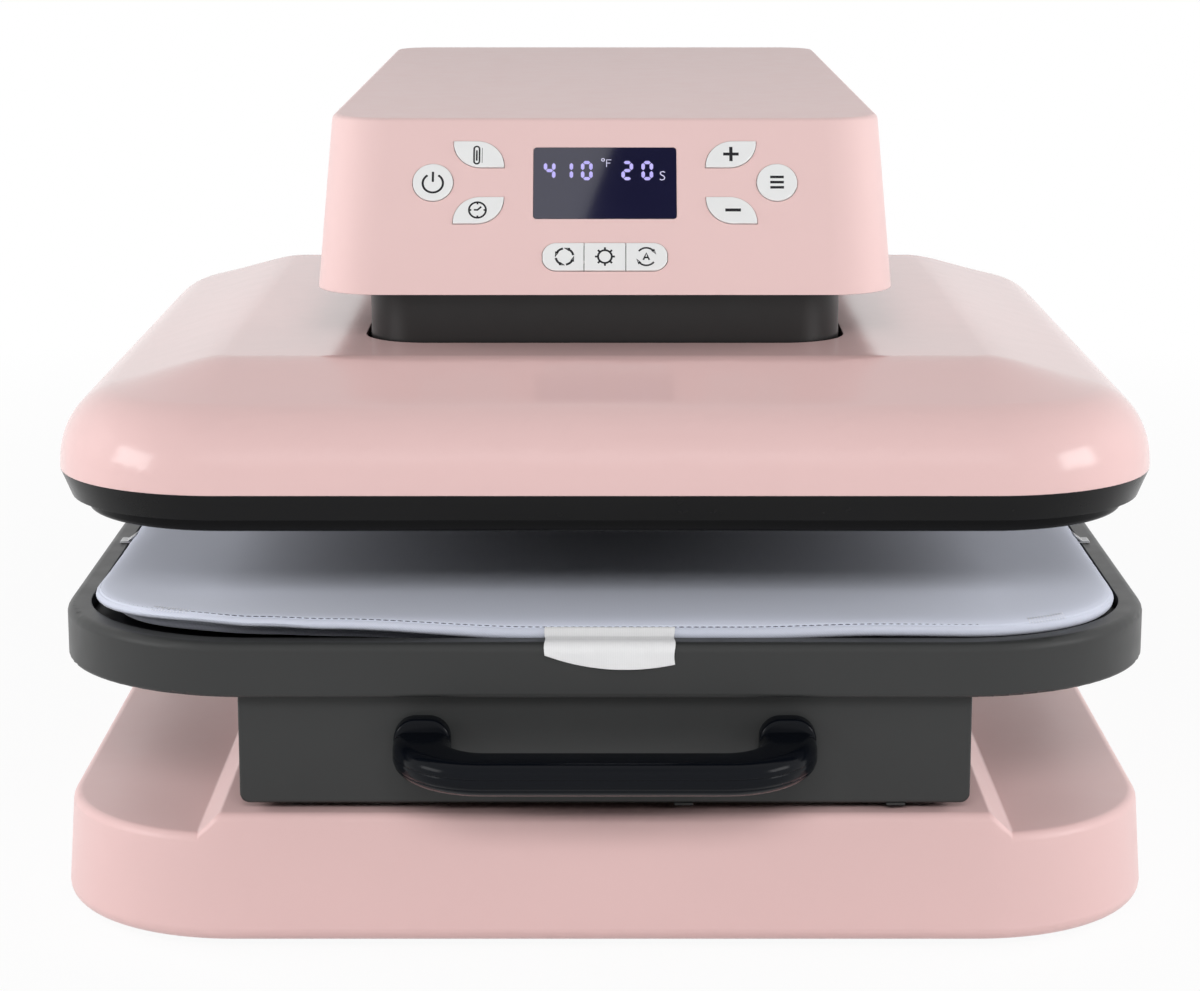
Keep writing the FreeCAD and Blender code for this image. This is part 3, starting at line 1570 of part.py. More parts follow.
def save(name, shape):
    placed = shape.copy()
    placed.translate(V(0, -origin_y, 0))
    placed.exportStep(f"parts/{name}.step")


builders = (
    base_cover, base_pan, rubber_feet, machine_screws,
    frame_side_plates, cross_plates, head_plate,
    rail_brackets, slide_outer_rails, slide_middle_rails, slide_inner_rails,
    column_cover, head_cover, head_underside, neck_sleeve,
    platen_cover, trim_ring, heat_guard_ring, heat_platen, heating_element,
    platen_standoffs, platen_bolts, insulation_blanket, thermal_sensors,
    platen_bracket, disc_springs, lift_carriage, lift_nut, guide_rods,
    head_bearings, lead_screw, screw_gear, motor_pinion, gear_motor, limit_switches,
    drawer_box, drawer_handle, handle_bolts, tray, lower_platen, silicone_mat,
    press_pad, pad_tags, key_board, display_module, display_lens,
    rear_panel, power_inlet, switch_housing, rocker, main_board,
)

os.makedirs("parts", exist_ok=True)
for build in builders:
    save(build.__name__, build())
for name in key_faces:
    save(name, key(name))
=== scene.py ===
import bmesh
import bpy
import json
import math
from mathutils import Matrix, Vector, noise
from mathutils.bvhtree import BVHTree

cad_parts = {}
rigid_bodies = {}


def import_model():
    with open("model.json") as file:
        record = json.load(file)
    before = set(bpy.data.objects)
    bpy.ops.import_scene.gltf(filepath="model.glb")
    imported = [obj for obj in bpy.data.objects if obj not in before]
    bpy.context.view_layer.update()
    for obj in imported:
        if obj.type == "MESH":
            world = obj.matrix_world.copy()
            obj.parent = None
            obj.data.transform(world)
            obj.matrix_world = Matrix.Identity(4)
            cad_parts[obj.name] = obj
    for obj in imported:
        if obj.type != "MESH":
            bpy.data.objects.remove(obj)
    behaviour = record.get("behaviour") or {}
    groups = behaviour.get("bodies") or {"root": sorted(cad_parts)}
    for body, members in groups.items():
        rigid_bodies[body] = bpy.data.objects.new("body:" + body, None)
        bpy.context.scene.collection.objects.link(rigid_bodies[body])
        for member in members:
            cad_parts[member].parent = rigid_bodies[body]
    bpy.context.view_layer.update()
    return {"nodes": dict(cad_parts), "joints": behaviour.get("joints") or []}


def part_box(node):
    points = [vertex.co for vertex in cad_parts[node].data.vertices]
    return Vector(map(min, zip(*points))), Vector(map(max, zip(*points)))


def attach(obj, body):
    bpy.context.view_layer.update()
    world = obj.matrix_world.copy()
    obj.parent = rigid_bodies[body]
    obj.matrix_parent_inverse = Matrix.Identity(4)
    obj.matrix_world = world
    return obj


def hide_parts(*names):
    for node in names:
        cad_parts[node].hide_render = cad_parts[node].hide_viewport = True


for leftover in list(bpy.data.objects):
    bpy.data.objects.remove(leftover)


def placed(name, data):
    made = bpy.data.objects.new(name, data)
    bpy.context.collection.objects.link(made)
    return made


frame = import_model()
mm = 0.001
print("stage: frame loaded,", len(frame["nodes"]), "nodes")

# camera
cameraSet = {
    "place": (0.0, -1.48717, 0.4414),
    "pitchDown": 11.886,     # degrees
    "lens": 93.0,
    "sensor": 36.0,
    "shiftX": -0.0041,
}
lensData = bpy.data.cameras.new("camera")
lensData.lens = cameraSet["lens"]
lensData.sensor_width = cameraSet["sensor"]
lensData.sensor_fit = "HORIZONTAL"
lensData.shift_x = cameraSet["shiftX"]
camera = placed("camera", lensData)
camera.location = cameraSet["place"]
camera.rotation_euler = (math.radians(90 - cameraSet["pitchDown"]), 0, 0)
bpy.context.scene.camera = camera


# shader and geometry node writing
class Wire:
    def __init__(self, sheet, socket):
        self.sheet = sheet
        self.socket = socket

    def maths(self, operation, first, second):
        return self.sheet.add("ShaderNodeMath", {"operation": operation}, {0: first, 1: second})

    def __add__(self, other):
        return self.maths("ADD", self, other)

    def __radd__(self, other):
        return self.maths("ADD", other, self)

    def __sub__(self, other):
        return self.maths("SUBTRACT", self, other)

    def __rsub__(self, other):
        return self.maths("SUBTRACT", other, self)

    def __mul__(self, other):
        return self.maths("MULTIPLY", self, other)

    def __rmul__(self, other):
        return self.maths("MULTIPLY", other, self)

    def __truediv__(self, other):
        return self.maths("DIVIDE", self, other)

    def __rtruediv__(self, other):
        return self.maths("DIVIDE", other, self)

    def __lt__(self, other):
        return self.maths("LESS_THAN", self, other)

    def __gt__(self, other):
        return self.maths("GREATER_THAN", self, other)


class Sheet:
    def __init__(self, tree):
        self.tree = tree
        tree.nodes.clear()

    def add(self, kind, settings=None, inputs=None, output=0):
        node = self.tree.nodes.new(kind)
        for key, value in (settings or {}).items():
            if key == "stops":
                elements = node.color_ramp.elements
                while len(elements) < len(value):
                    elements.new(1.0)
                for element, (position, shade) in zip(elements, value):
                    element.position = position
                    element.color = (*shade, 1.0)
            else:
                setattr(node, key, value)
        for key, value in (inputs or {}).items():
            if isinstance(value, Wire):
                self.tree.links.new(value.socket, node.inputs[key])
            else:
                node.inputs[key].default_value = value
        return Wire(self, node.outputs[output]) if len(node.outputs) else node

    def blend(self, amount, low, high, kind="MIX"):
        return self.add("ShaderNodeMix", {"data_type": "RGBA", "blend_type": kind},
                        {0: amount, 6: low, 7: high}, 2)

    def objectPlace(self):
        return self.add("ShaderNodeTexCoord", None, None, "Object")

    def stretched(self, place, scale, turn=(0.0, 0.0, 0.0)):
        return self.add("ShaderNodeMapping", None,
                        {"Vector": place, "Rotation": turn, "Scale": scale})

    def cloud(self, place, size, detail=2.0, rough=0.5):
        return self.add("ShaderNodeTexNoise", None,
                        {"Vector": place, "Scale": 1 / size, "Detail": detail, "Roughness": rough})

    def cells(self, place, size):
        return self.add("ShaderNodeTexVoronoi", None, {"Vector": place, "Scale": 1 / size},
                        "Distance")

    def bumped(self, height, depth, under=None):
        inputs = {"Height": height, "Distance": depth, "Strength": 1.0}
        if under is not None:
            inputs["Normal"] = under
        return self.add("ShaderNodeBump", None, inputs)


def rgb(red, green, blue):
    return (red, green, blue, 1.0)


def tinted(shade, factor):
    return rgb(*(min(1.0, channel * factor) for channel in shade[:3]))


def newSheet(name):
    material = bpy.data.materials.new(name)
    material.use_nodes = True
    return material, Sheet(material.node_tree)


def newFinish(name):
    material, sheet = newSheet(name)
    return material, sheet, sheet.objectPlace()


def principled(sheet, colour, roughness, normal=None, **fixed):
    inputs = {"Base Color": colour, "Roughness": roughness}
    if normal is not None:
        inputs["Normal"] = normal
    for key, value in fixed.items():
        inputs[key.replace("_", " ")] = value
    shader = sheet.add("ShaderNodeBsdfPrincipled", None, inputs)
    sheet.add("ShaderNodeOutputMaterial", None, {"Surface": shader})


# studio
studio = {
    "floorSize": 12.0,
    "floorShade": (0.86, 0.86, 0.86),
    "floorGlow": 0.93,
    "fadeFrom": 0.55,
    "fadeRun": 0.8,
    "ambient": 0.07,
}
lamps = {
    "glintLeft": {"place": (-1.35, -0.75, 0.60), "aim": (0.0, -0.1, 0.15), "size": (0.66, 0.42),
                  "power": 3.4, "mirrored": True},
    "glintRight": {"place": (1.35, -0.75, 0.60), "aim": (0.0, -0.1, 0.15), "size": (0.66, 0.42),
                   "power": 3.9, "mirrored": True},
    "sideLeft": {"place": (-1.35, -0.75, 0.62), "aim": (0.0, -0.1, 0.15), "size": (0.7, 0.7),
                 "power": 2.6, "mirrored": False},
    "sideRight": {"place": (1.35, -0.75, 0.62), "aim": (0.0, -0.1, 0.15), "size": (0.7, 0.7),
                  "power": 2.6, "mirrored": False},
    "flankLeft": {"place": (-1.25, 0.15, 0.60), "aim": (0.0, 0.0, 0.12), "size": (0.8, 0.5),
                  "power": 8.0, "mirrored": False},
    "flankRight": {"place": (1.25, 0.15, 0.60), "aim": (0.0, 0.0, 0.12), "size": (0.8, 0.5),
                   "power": 7.0, "mirrored": False},
    "frontFill": {"place": (0.0, -2.1, 1.3), "aim": (0.0, 0.0, 0.16), "size": (1.6, 0.6),
                  "power": 24.5, "mirrored": False},
}
# dark board that shows only in what mirrors it: its corners as x, z at one y
board = {
    "y": -1.10,
    "corners": ((-0.026, 1.56), (0.115, 1.56), (0.115, 1.76), (0.015, 1.76)),
    "shade": (0.01, 0.01, 0.012),
}


def makeLamp(name, lamp):
    data = bpy.data.lights.new(name, "AREA")
    data.shape = "RECTANGLE"
    data.size, data.size_y = lamp["size"]
    data.energy = lamp["power"]
    made = placed(name, data)
    made.location = lamp["place"]
    made.rotation_euler = (Vector(lamp["aim"]) - made.location).to_track_quat("-Z", "Y").to_euler()
    made.visible_glossy = lamp["mirrored"]


def seenRays(sheet):
    def ray(name):
        return sheet.add("ShaderNodeLightPath", None, None, name)
    seen = ray("Is Camera Ray").maths("MAXIMUM", ray("Is Camera Ray"), ray("Is Glossy Ray"))
    return seen.maths("MAXIMUM", seen, ray("Is Transmission Ray"))


def stagePlane(name, corners, material):
    mesh = bpy.data.meshes.new(name)
    mesh.from_pydata(corners, [], [(0, 1, 2, 3)])
    mesh.materials.append(material)
    plane = placed(name, mesh)
    return plane


def makeBoard():
    material, sheet = newSheet("studioBoard")
    matt = sheet.add("ShaderNodeBsdfDiffuse", None, {"Color": rgb(*board["shade"])})
    sheet.add("ShaderNodeOutputMaterial", None, {"Surface": matt})
    plane = stagePlane("studioBoard", [(x, board["y"], z) for x, z in board["corners"]], material)
    for kind in ("camera", "diffuse", "transmission", "shadow"):
        setattr(plane, "visible_" + kind, False)


def makeStudio():
    world = bpy.data.worlds.new("studio")
    world.use_nodes = True
    sheet = Sheet(world.node_tree)
    seen = seenRays(sheet)
    strength = seen * (1 - studio["ambient"]) + studio["ambient"]
    glow = sheet.add("ShaderNodeBackground", None, {"Color": rgb(1, 1, 1), "Strength": strength})
    sheet.add("ShaderNodeOutputWorld", None, {"Surface": glow})
    bpy.context.scene.world = world

    material, sheet, place = newFinish("studioFloor")
    tone = sheet.blend(sheet.cloud(place, 0.4), rgb(*studio["floorShade"]),
                       tinted(studio["floorShade"], 1.01))
    matt = sheet.add("ShaderNodeBsdfDiffuse", None, {"Color": tone})
    glow = sheet.add("ShaderNodeEmission", None, {"Color": rgb(1, 1, 1), "Strength": 1.0})
    away = sheet.add("ShaderNodeVectorMath", {"operation": "LENGTH"}, {0: place}, 1)
    fade = (away - studio["fadeFrom"]) / studio["fadeRun"]
    fade = fade.maths("MINIMUM", fade.maths("MAXIMUM", fade, 0.0), 1.0)
    shown = fade * (1 - studio["floorGlow"]) + studio["floorGlow"]
    both = sheet.add("ShaderNodeMixShader", None, {0: seenRays(sheet) * shown, 1: matt, 2: glow})
    sheet.add("ShaderNodeOutputMaterial", None, {"Surface": both})
    half = studio["floorSize"] / 2
    corners = [(-half, -half, 0), (half, -half, 0), (half, half, 0), (-half, half, 0)]
    stagePlane("studioFloor", corners, material)
    for name, lamp in lamps.items():
        makeLamp(name, lamp)
    makeBoard()
    bpy.context.scene.view_settings.view_transform = "Standard"


makeStudio()
print("stage: studio ready")


# finishes
def moulding(name, shade, rough, grain=0.5 * mm, depth=0.004 * mm, mottle=0.03, edge=0.0, **fixed):
    # moulded plastic: faint colour clouds, fine grain and softened edges
    material, sheet, place = newFinish(name)
    cloud = sheet.cloud(place, 45 * mm, 3.0)
    colour = sheet.blend(cloud, tinted(shade, 1 - mottle), tinted(shade, 1 + mottle))
    polish = rough + (sheet.cloud(place, 12 * mm, 4.0) - 0.5) * rough * 0.35
    under = None
    if edge:
        under = sheet.add("ShaderNodeBevel", {"samples": 4}, {"Radius": edge})
    normal = sheet.bumped(sheet.cloud(place, grain, 2.0), depth, under)
    principled(sheet, colour, polish, normal, **fixed)
    return material


def metal(name, shade, rough, stretch=(1.0, 1.0, 1.0), grain=0.6 * mm, depth=0.004 * mm):
    # plated or brushed metal: streaks along one axis and cloudy dull patches
    material, sheet, place = newFinish(name)
    streak = sheet.cloud(sheet.stretched(place, stretch), grain, 3.0, 0.6)
    patch = sheet.cloud(place, 22 * mm, 4.0)
    colour = sheet.blend(streak * 0.6 + patch * 0.4, tinted(shade, 0.88), tinted(shade, 1.12))
    polish = rough + (patch - 0.5) * 0.2 + (streak - 0.5) * 0.1
    principled(sheet, colour, polish, sheet.bumped(streak, depth), Metallic=1.0)
    return material


pink = (0.79, 0.535, 0.522)
# painted light: a lighter, paler copy of the cover pink for the head and column covers, standing in
# for the brighter reflection the head shows
paintedLightPink = (0.83, 0.590, 0.575)
charcoal = (0.036, 0.037, 0.037)
coverGloss = moulding("coverGloss", pink, 0.15, 7 * mm, 0.003 * mm, 0.010, 0.5 * mm)
coverSatin = moulding("coverSatin", pink, 0.36, 5 * mm, 0.003 * mm, 0.012, 0.5 * mm)
headSatinPaintedLight = moulding("headSatinPaintedLight", paintedLightPink, 0.38, 5 * mm, 0.003 * mm, 0.012, 0.5 * mm)
charcoalGrain = moulding("charcoalGrain", charcoal, 0.40, 0.55 * mm, 0.008 * mm, 0.05, 0.6 * mm,
                         Specular_IOR_Level=0.28)
trimBlack = moulding("trimBlack", (0.006, 0.006, 0.0065), 0.26, 0.5 * mm, 0.005 * mm, 0.08,
                     0.4 * mm, Specular_IOR_Level=0.14)
guardBlack = moulding("guardBlack", (0.005, 0.005, 0.006), 0.24, 0.5 * mm, 0.005 * mm, 0.08,
                      0.4 * mm, Specular_IOR_Level=0.10)
neckGrey = moulding("neckGrey", (0.007, 0.0065, 0.0065), 0.38, 0.6 * mm, 0.004 * mm, 0.04, 0.4 * mm,
                    Specular_IOR_Level=0.40)
handleGloss = moulding("handleGloss", (0.003, 0.004, 0.0065), 0.16, 0.8 * mm, 0.003 * mm, 0.10,
                       Specular_IOR_Level=0.12)
keyGloss = moulding("keyGloss", (0.84, 0.85, 0.85), 0.16, 2 * mm, 0.003 * mm, 0.008)
blackPlastic = moulding("blackPlastic", (0.014, 0.014, 0.015), 0.36, 0.5 * mm, 0.008 * mm, 0.1,
                        0.3 * mm, Specular_IOR_Level=0.3)
modulePlastic = moulding("modulePlastic", (0.10, 0.10, 0.11), 0.5, 0.6 * mm, 0.01 * mm)
rubberBlack = moulding("rubberBlack", (0.016, 0.016, 0.017), 0.72, 0.35 * mm, 0.03 * mm, 0.15)
siliconeBlack = moulding("siliconeBlack", (0.004, 0.004, 0.005), 0.5, 0.3 * mm, 0.02 * mm, 0.15,
                         Specular_IOR_Level=0.15)
frameSteel = metal("frameSteel", (0.50, 0.51, 0.53), 0.42, (1.0, 0.15, 1.0))
brightSteel = metal("brightSteel", (0.66, 0.67, 0.69), 0.18, (6.0, 6.0, 0.5))
screwSteel = metal("screwSteel", (0.55, 0.55, 0.56), 0.30, (3.0, 3.0, 3.0))
castAluminium = metal("castAluminium", (0.62, 0.62, 0.63), 0.46, grain=0.9 * mm,
                      depth=0.02 * mm)
bronzeBush = metal("bronzeBush", (0.56, 0.36, 0.16), 0.34, (4.0, 4.0, 0.8))


def platenCoat():
    # dark non-stick coating with pale flecks
    material, sheet, place = newFinish("platenCoat")
    fleck = sheet.cells(place, 1.6 * mm)
    speck = (fleck < 0.16) * (sheet.cloud(place, 9 * mm, 3.0) > 0.46)
    colour = sheet.blend(speck, rgb(0.022, 0.022, 0.024), rgb(0.16, 0.16, 0.17))
    normal = sheet.bumped(sheet.cloud(place, 0.4 * mm, 2.0), 0.01 * mm)
    principled(sheet, colour, 0.34 + sheet.cloud(place, 14 * mm) * 0.12, normal)
    return material


def woolBlanket():
    # pale mineral wool with matted fibres
    material, sheet, place = newFinish("woolBlanket")
    matted = sheet.stretched(place, (1.0, 5.0, 2.0), (0.3, 0.2, 0.7))
    fibre = sheet.cloud(matted, 1.6 * mm, 5.0, 0.7)
    colour = sheet.blend(fibre, rgb(0.52, 0.48, 0.36), rgb(0.86, 0.83, 0.72))
    principled(sheet, colour, 0.95, sheet.bumped(fibre, 0.6 * mm))
    return material


def circuitGreen():
    # solder mask over a grid of copper tracks, with tinned pads
    material, sheet, place = newFinish("circuitGreen")
    track = sheet.add("ShaderNodeTexBrick", {"offset": 0.5},
                      {"Vector": sheet.stretched(place, (1.0, 1.0, 1.0), (math.pi / 2, 0, 0)),
                       "Scale": 1 / (16 * mm), "Mortar Size": 0.03}, "Fac")
    spot = sheet.cells(place, 5 * mm)
    mask = sheet.blend(track, rgb(0.01, 0.10, 0.04), rgb(0.03, 0.20, 0.08))
    colour = sheet.blend(spot < 0.14, mask, rgb(0.62, 0.62, 0.60))
    principled(sheet, colour, 0.32, sheet.bumped(track, 0.05 * mm), Metallic=(spot < 0.14) * 0.9)
    return material


def displayGlass():
    # deep blue window with a faint cell texture behind its polish
    material, sheet, place = newFinish("displayGlass")
    haze = sheet.cloud(place, 30 * mm, 2.0)
    colour = sheet.blend(haze, rgb(0.011, 0.011, 0.036), rgb(0.014, 0.014, 0.046))
    normal = sheet.bumped(sheet.cloud(place, 5 * mm), 0.001 * mm)
    principled(sheet, colour, 0.03 + haze * 0.02, normal, Specular_IOR_Level=1.0)
    return material


def litSegment(name, dim, bright):
    material, sheet, place = newFinish(name)
    uneven = sheet.cloud(place, 2.5 * mm, 1.0)
    glow = sheet.blend(uneven, rgb(*dim), rgb(*bright))
    principled(sheet, rgb(0.02, 0.02, 0.05), 0.35, None, Emission_Color=glow, Emission_Strength=1.0)
    return material


def printedInk():
    material, sheet, place = newFinish("printedInk")
    screen = sheet.cloud(place, 0.25 * mm, 2.0)
    colour = sheet.blend(screen, rgb(0.010, 0.010, 0.012), rgb(0.018, 0.018, 0.021))
    principled(sheet, colour, 0.5, sheet.bumped(screen, 0.01 * mm), Specular_IOR_Level=0.2)
    return material


def twill(name, shade, pitch, depth, mottle):
    # diagonal ribs of a fine twill, broken up by single threads
    material, sheet, place = newFinish(name)
    rib = sheet.add("ShaderNodeTexWave", {"wave_type": "BANDS", "bands_direction": "DIAGONAL"},
                    {"Vector": place, "Scale": 0.31 / pitch, "Distortion": 0.6, "Detail": 2.0,
                     "Detail Scale": 2.0}, "Fac")
    thread = sheet.add("ShaderNodeTexWave", {"wave_type": "BANDS", "bands_direction": "X"},
                       {"Vector": place, "Scale": 0.31 / pitch, "Distortion": 0.3}, "Fac")
    weave = rib * 0.65 + thread * 0.35
    cloud = sheet.cloud(place, 55 * mm, 3.0)
    plain = sheet.blend(cloud, tinted(shade, 1 - mottle), tinted(shade, 1 + mottle))
    colour = sheet.blend(weave, tinted(shade, 0.90), tinted(shade, 1.06))
    colour = sheet.blend(0.5, plain, colour)
    fuzz = sheet.cloud(place, 0.3 * mm, 3.0)
    normal = sheet.bumped(weave * 0.8 + fuzz * 0.2, depth)
    principled(sheet, colour, 0.78 + weave * 0.12, normal, Sheen_Weight=0.15, Sheen_Roughness=0.5)
    return material


def ribbon(name, shade, pitch):
    # plain woven tape: ribs one way, finer threads the other
    material, sheet, place = newFinish(name)
    rib = sheet.add("ShaderNodeTexWave", {"wave_type": "BANDS", "bands_direction": "X"},
                    {"Vector": place, "Scale": 0.31 / pitch, "Distortion": 0.2}, "Fac")
    weft = sheet.add("ShaderNodeTexWave", {"wave_type": "BANDS", "bands_direction": "Z"},
                     {"Vector": place, "Scale": 0.62 / pitch, "Distortion": 0.2}, "Fac")
    weave = rib * weft
    cloud = sheet.cloud(place, 8 * mm, 3.0)
    colour = sheet.blend(weave * 0.7 + cloud * 0.3, tinted(shade, 0.90), tinted(shade, 1.03))
    principled(sheet, colour, 0.75 + weave * 0.1, sheet.bumped(weave, 0.05 * mm),
               Sheen_Weight=0.2, Sheen_Roughness=0.4)
    return material


platenFace = platenCoat()
wool = woolBlanket()
boardGreen = circuitGreen()
glassBlue = displayGlass()
segmentViolet = litSegment("segmentViolet", (0.40, 0.35, 0.82), (0.60, 0.54, 1.0))
segmentPale = litSegment("segmentPale", (0.62, 0.60, 0.80), (0.78, 0.76, 0.95))
inkDark = printedInk()
padTwill = twill("padTwill", (0.66, 0.69, 0.80), 0.55 * mm, 0.04 * mm, 0.025)
foamGrey = twill("foamGrey", (0.30, 0.30, 0.33), 1.2 * mm, 0.15 * mm, 0.05)
labelWhite = ribbon("labelWhite", (0.93, 0.93, 0.94), 0.7 * mm)
threadLavender = ribbon("threadLavender", (0.07, 0.075, 0.11), 0.3 * mm)
threadWhite = ribbon("threadWhite", (0.92, 0.92, 0.95), 0.3 * mm)

nodeFinishes = (
    (coverGloss, ("platen_cover",)),
    (coverSatin, ("base_cover",)),
    # head and column covers take the paler pink with painted light, though they are the same
    # plastic as the base
    (headSatinPaintedLight, ("column_cover", "head_cover")),
    (charcoalGrain, ("drawer_box", "tray")),
    (trimBlack, ("trim_ring",)),
    (guardBlack, ("heat_guard_ring",)),
    (neckGrey, ("neck_sleeve",)),
    (handleGloss, ("drawer_handle",)),
    (keyGloss, ("power_key", "function_key", "temperature_key", "timer_key", "plus_key",
                "minus_key", "cycle_key", "light_key", "auto_key")),
    (blackPlastic, ("head_underside", "power_inlet", "switch_housing", "rocker", "rear_panel")),
    (modulePlastic, ("display_module", "limit_switches")),
    (rubberBlack, ("rubber_feet",)),
    (siliconeBlack, ("silicone_mat",)),
    (frameSteel, ("base_pan", "frame_side_plates", "cross_plates", "head_plate", "platen_bracket",
                  "rail_brackets", "slide_outer_rails", "slide_middle_rails", "slide_inner_rails",
                  "gear_motor")),
    (brightSteel, ("guide_rods", "lead_screw", "screw_gear", "motor_pinion", "disc_springs",
                   "platen_standoffs", "heating_element")),
    (screwSteel, ("machine_screws", "platen_bolts", "handle_bolts")),
    (castAluminium, ("lower_platen", "lift_carriage", "thermal_sensors")),
    (bronzeBush, ("head_bearings", "lift_nut")),
    (platenFace, ("heat_platen",)),
    (wool, ("insulation_blanket",)),
    (boardGreen, ("key_board", "main_board")),
    (glassBlue, ("display_lens",)),
    (padTwill, ("press_pad",)),
    (labelWhite, ("pad_tags",)),
)


# geometry trees: sizes come in by name, as the wires of a dictionary
def newTree(name, **sizes):
    tree = bpy.data.node_groups.new(name, "GeometryNodeTree")
    sheet = Sheet(tree)
    tree.interface.new_socket("Geometry", in_out="INPUT", socket_type="NodeSocketGeometry")
    for label, kind in sizes.items():
        tree.interface.new_socket(label.replace("_", " "), in_out="INPUT",
                                  socket_type="NodeSocket" + kind)
    tree.interface.new_socket("Geometry", in_out="OUTPUT", socket_type="NodeSocketGeometry")
    given = sheet.add("NodeGroupInput").socket.node
    return sheet, {item.name: Wire(sheet, item) for item in given.outputs if item.name}


def closeTree(sheet, shape, finish):
    shape = sheet.add("GeometryNodeRealizeInstances", None, {"Geometry": shape})
    shape = sheet.add("GeometryNodeSetMaterial", None, {"Geometry": shape, "Material": finish})
    sheet.add("NodeGroupOutput", None, {"Geometry": shape})
    return sheet.tree


# smoother shading of the frame's meshes
def smoothTree():
    sheet, given = newTree("smoothShading", Weld_distance="Float", Crease_angle="Float")
    shape = given["Geometry"]
    for attribute in ("custom_normal", "sharp_edge", "sharp_face"):
        shape = sheet.add("GeometryNodeRemoveAttribute", None,
                          {"Geometry": shape, "Name": attribute})
    shape = sheet.add("GeometryNodeMergeByDistance", None,
                      {"Geometry": shape, "Distance": given["Weld distance"]})
    crease = sheet.add("GeometryNodeInputMeshEdgeAngle") < given["Crease angle"]
    for domain, smooth in (("FACE", True), ("EDGE", crease)):
        shape = sheet.add("GeometryNodeSetShadeSmooth", {"domain": domain},
                          {"Geometry": shape, "Shade Smooth": smooth})
    sheet.add("NodeGroupOutput", None, {"Geometry": shape})
    return sheet.tree


def setInputs(modifier, values):
    for item in modifier.node_group.interface.items_tree:
        if item.item_type == "SOCKET" and item.in_out == "INPUT" and item.name in values:
            modifier[item.identifier] = values[item.name]


smoothing = {"Weld distance": 0.002 * mm, "Crease angle": math.radians(32)}


def dressNodes():
    tree = smoothTree()
    dressed = 0
    for finish, names in nodeFinishes:
        for name in names:
            node = frame["nodes"][name]
            node.data.materials.clear()
            node.data.materials.append(finish)
            modifier = node.modifiers.new("smoothShading", "NODES")
            modifier.node_group = tree
            setInputs(modifier, smoothing)
            weighted = node.modifiers.new("weightedNormals", "WEIGHTED_NORMAL")
            weighted.keep_sharp = True
            dressed += 1
    print("stage: nodes dressed,", dressed, "of", len(frame["nodes"]))


dressNodes()


# mesh helpers
def newPiece(name, points, faces, finish, smooth=True):
    mesh = bpy.data.meshes.new(name)
    mesh.from_pydata([tuple(point) for point in points], [], faces)
    mesh.update()
    mesh.materials.append(finish)
    if smooth:
        mesh.shade_smooth()
    return placed(name, mesh)


def evaluatedMesh(piece):
    bpy.context.view_layer.update()
    shown = piece.evaluated_get(bpy.context.evaluated_depsgraph_get())
    return bpy.data.meshes.new_from_object(shown)


def settle(piece):
    # turn the evaluated result into the piece's own plain mesh
    mesh = evaluatedMesh(piece)
    piece.modifiers.clear()
    old = piece.data
    piece.data = mesh
    if isinstance(old, bpy.types.Mesh):
        bpy.data.meshes.remove(old)


def gridFaces(rows, columns, closedRows=False, closedColumns=False):
    faces = []
    for row in range(rows if closedRows else rows - 1):
        for column in range(columns if closedColumns else columns - 1):
            nextRow, nextColumn = (row + 1) % rows, (column + 1) % columns
            faces.append((row * columns + column, row * columns + nextColumn,
                          nextRow * columns + nextColumn, nextRow * columns + column))
    return faces


def roundedLoop(halfX, halfY, corner, step):
    # points around a rounded rectangle, each with its outward direction in plan
    loop = []
    for turn, midX, midY in ((0, 1, 1), (90, -1, 1), (180, -1, -1), (270, 1, -1)):
        centre = Vector((midX * (halfX - corner), midY * (halfY - corner)))
        count = max(4, round(math.pi / 2 * corner / step))
        for place in range(count + 1):
            angle = math.radians(turn + 90 * place / count)
            outward = Vector((math.cos(angle), math.sin(angle)))
            loop.append((centre + outward * corner, outward))
        last, outward = loop[-1]
        along = Vector((-outward.y, outward.x))
        run = 2 * (halfX - corner if abs(outward.y) > 0.5 else halfY - corner)
        count = max(2, round(run / step))
        for place in range(1, count):
            loop.append((last + along * run * place / count, outward))
    return loop


# drawer handle: a bowed bar with moulding seams, on two bosses
handle = {
    "round": 5.5 * mm,
    "bend": 26.0 * mm,
    "drop": 2.0 * mm,
    "thick": 13.5 * mm,
    "width": 23.0 * mm,
    "reach": 37.5 * mm,
    "bossDepth": 7.3 * mm,
    "bossRound": 8.8 * mm,
    "bossLip": 1.6 * mm,
    "seams": (0.7 * mm, -3.3 * mm),
    "seamDepth": 0.4 * mm,
    "seamHalf": 0.45 * mm,
    "sectionStep": 0.45 * mm,
    "bossStep": 1.4 * mm,
    "bendCuts": 12,
    "lipCuts": 4,
}


def barSection():
    # rounded section with a shallow groove along it at each seam
    section = []
    loop = roundedLoop(handle["width"] / 2, handle["thick"] / 2, handle["round"],
                       handle["sectionStep"])
    for point, outward in loop:
        nearest = min(abs(point.y - seam) for seam in handle["seams"])
        share = max(0.0, 1 - nearest / handle["seamHalf"])
        section.append(point - outward * handle["seamDepth"] * share)
    return section


def handlePath():
    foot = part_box("drawer_handle")
    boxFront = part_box("drawer_box")[0].y
    half = foot[1].x - handle["width"] / 2
    bend, reach, cuts = handle["bend"], handle["reach"], handle["bendCuts"]
    stops = [(-half, boxFront)]
    for place in range(cuts + 1):
        angle = math.radians(180 + 90 * place / cuts)
        stops.append((-half + bend + bend * math.cos(angle),
                      boxFront - reach + bend + bend * math.sin(angle)))
    stops += [(-x, y) for x, y in stops[::-1]]
    return half, boxFront, stops


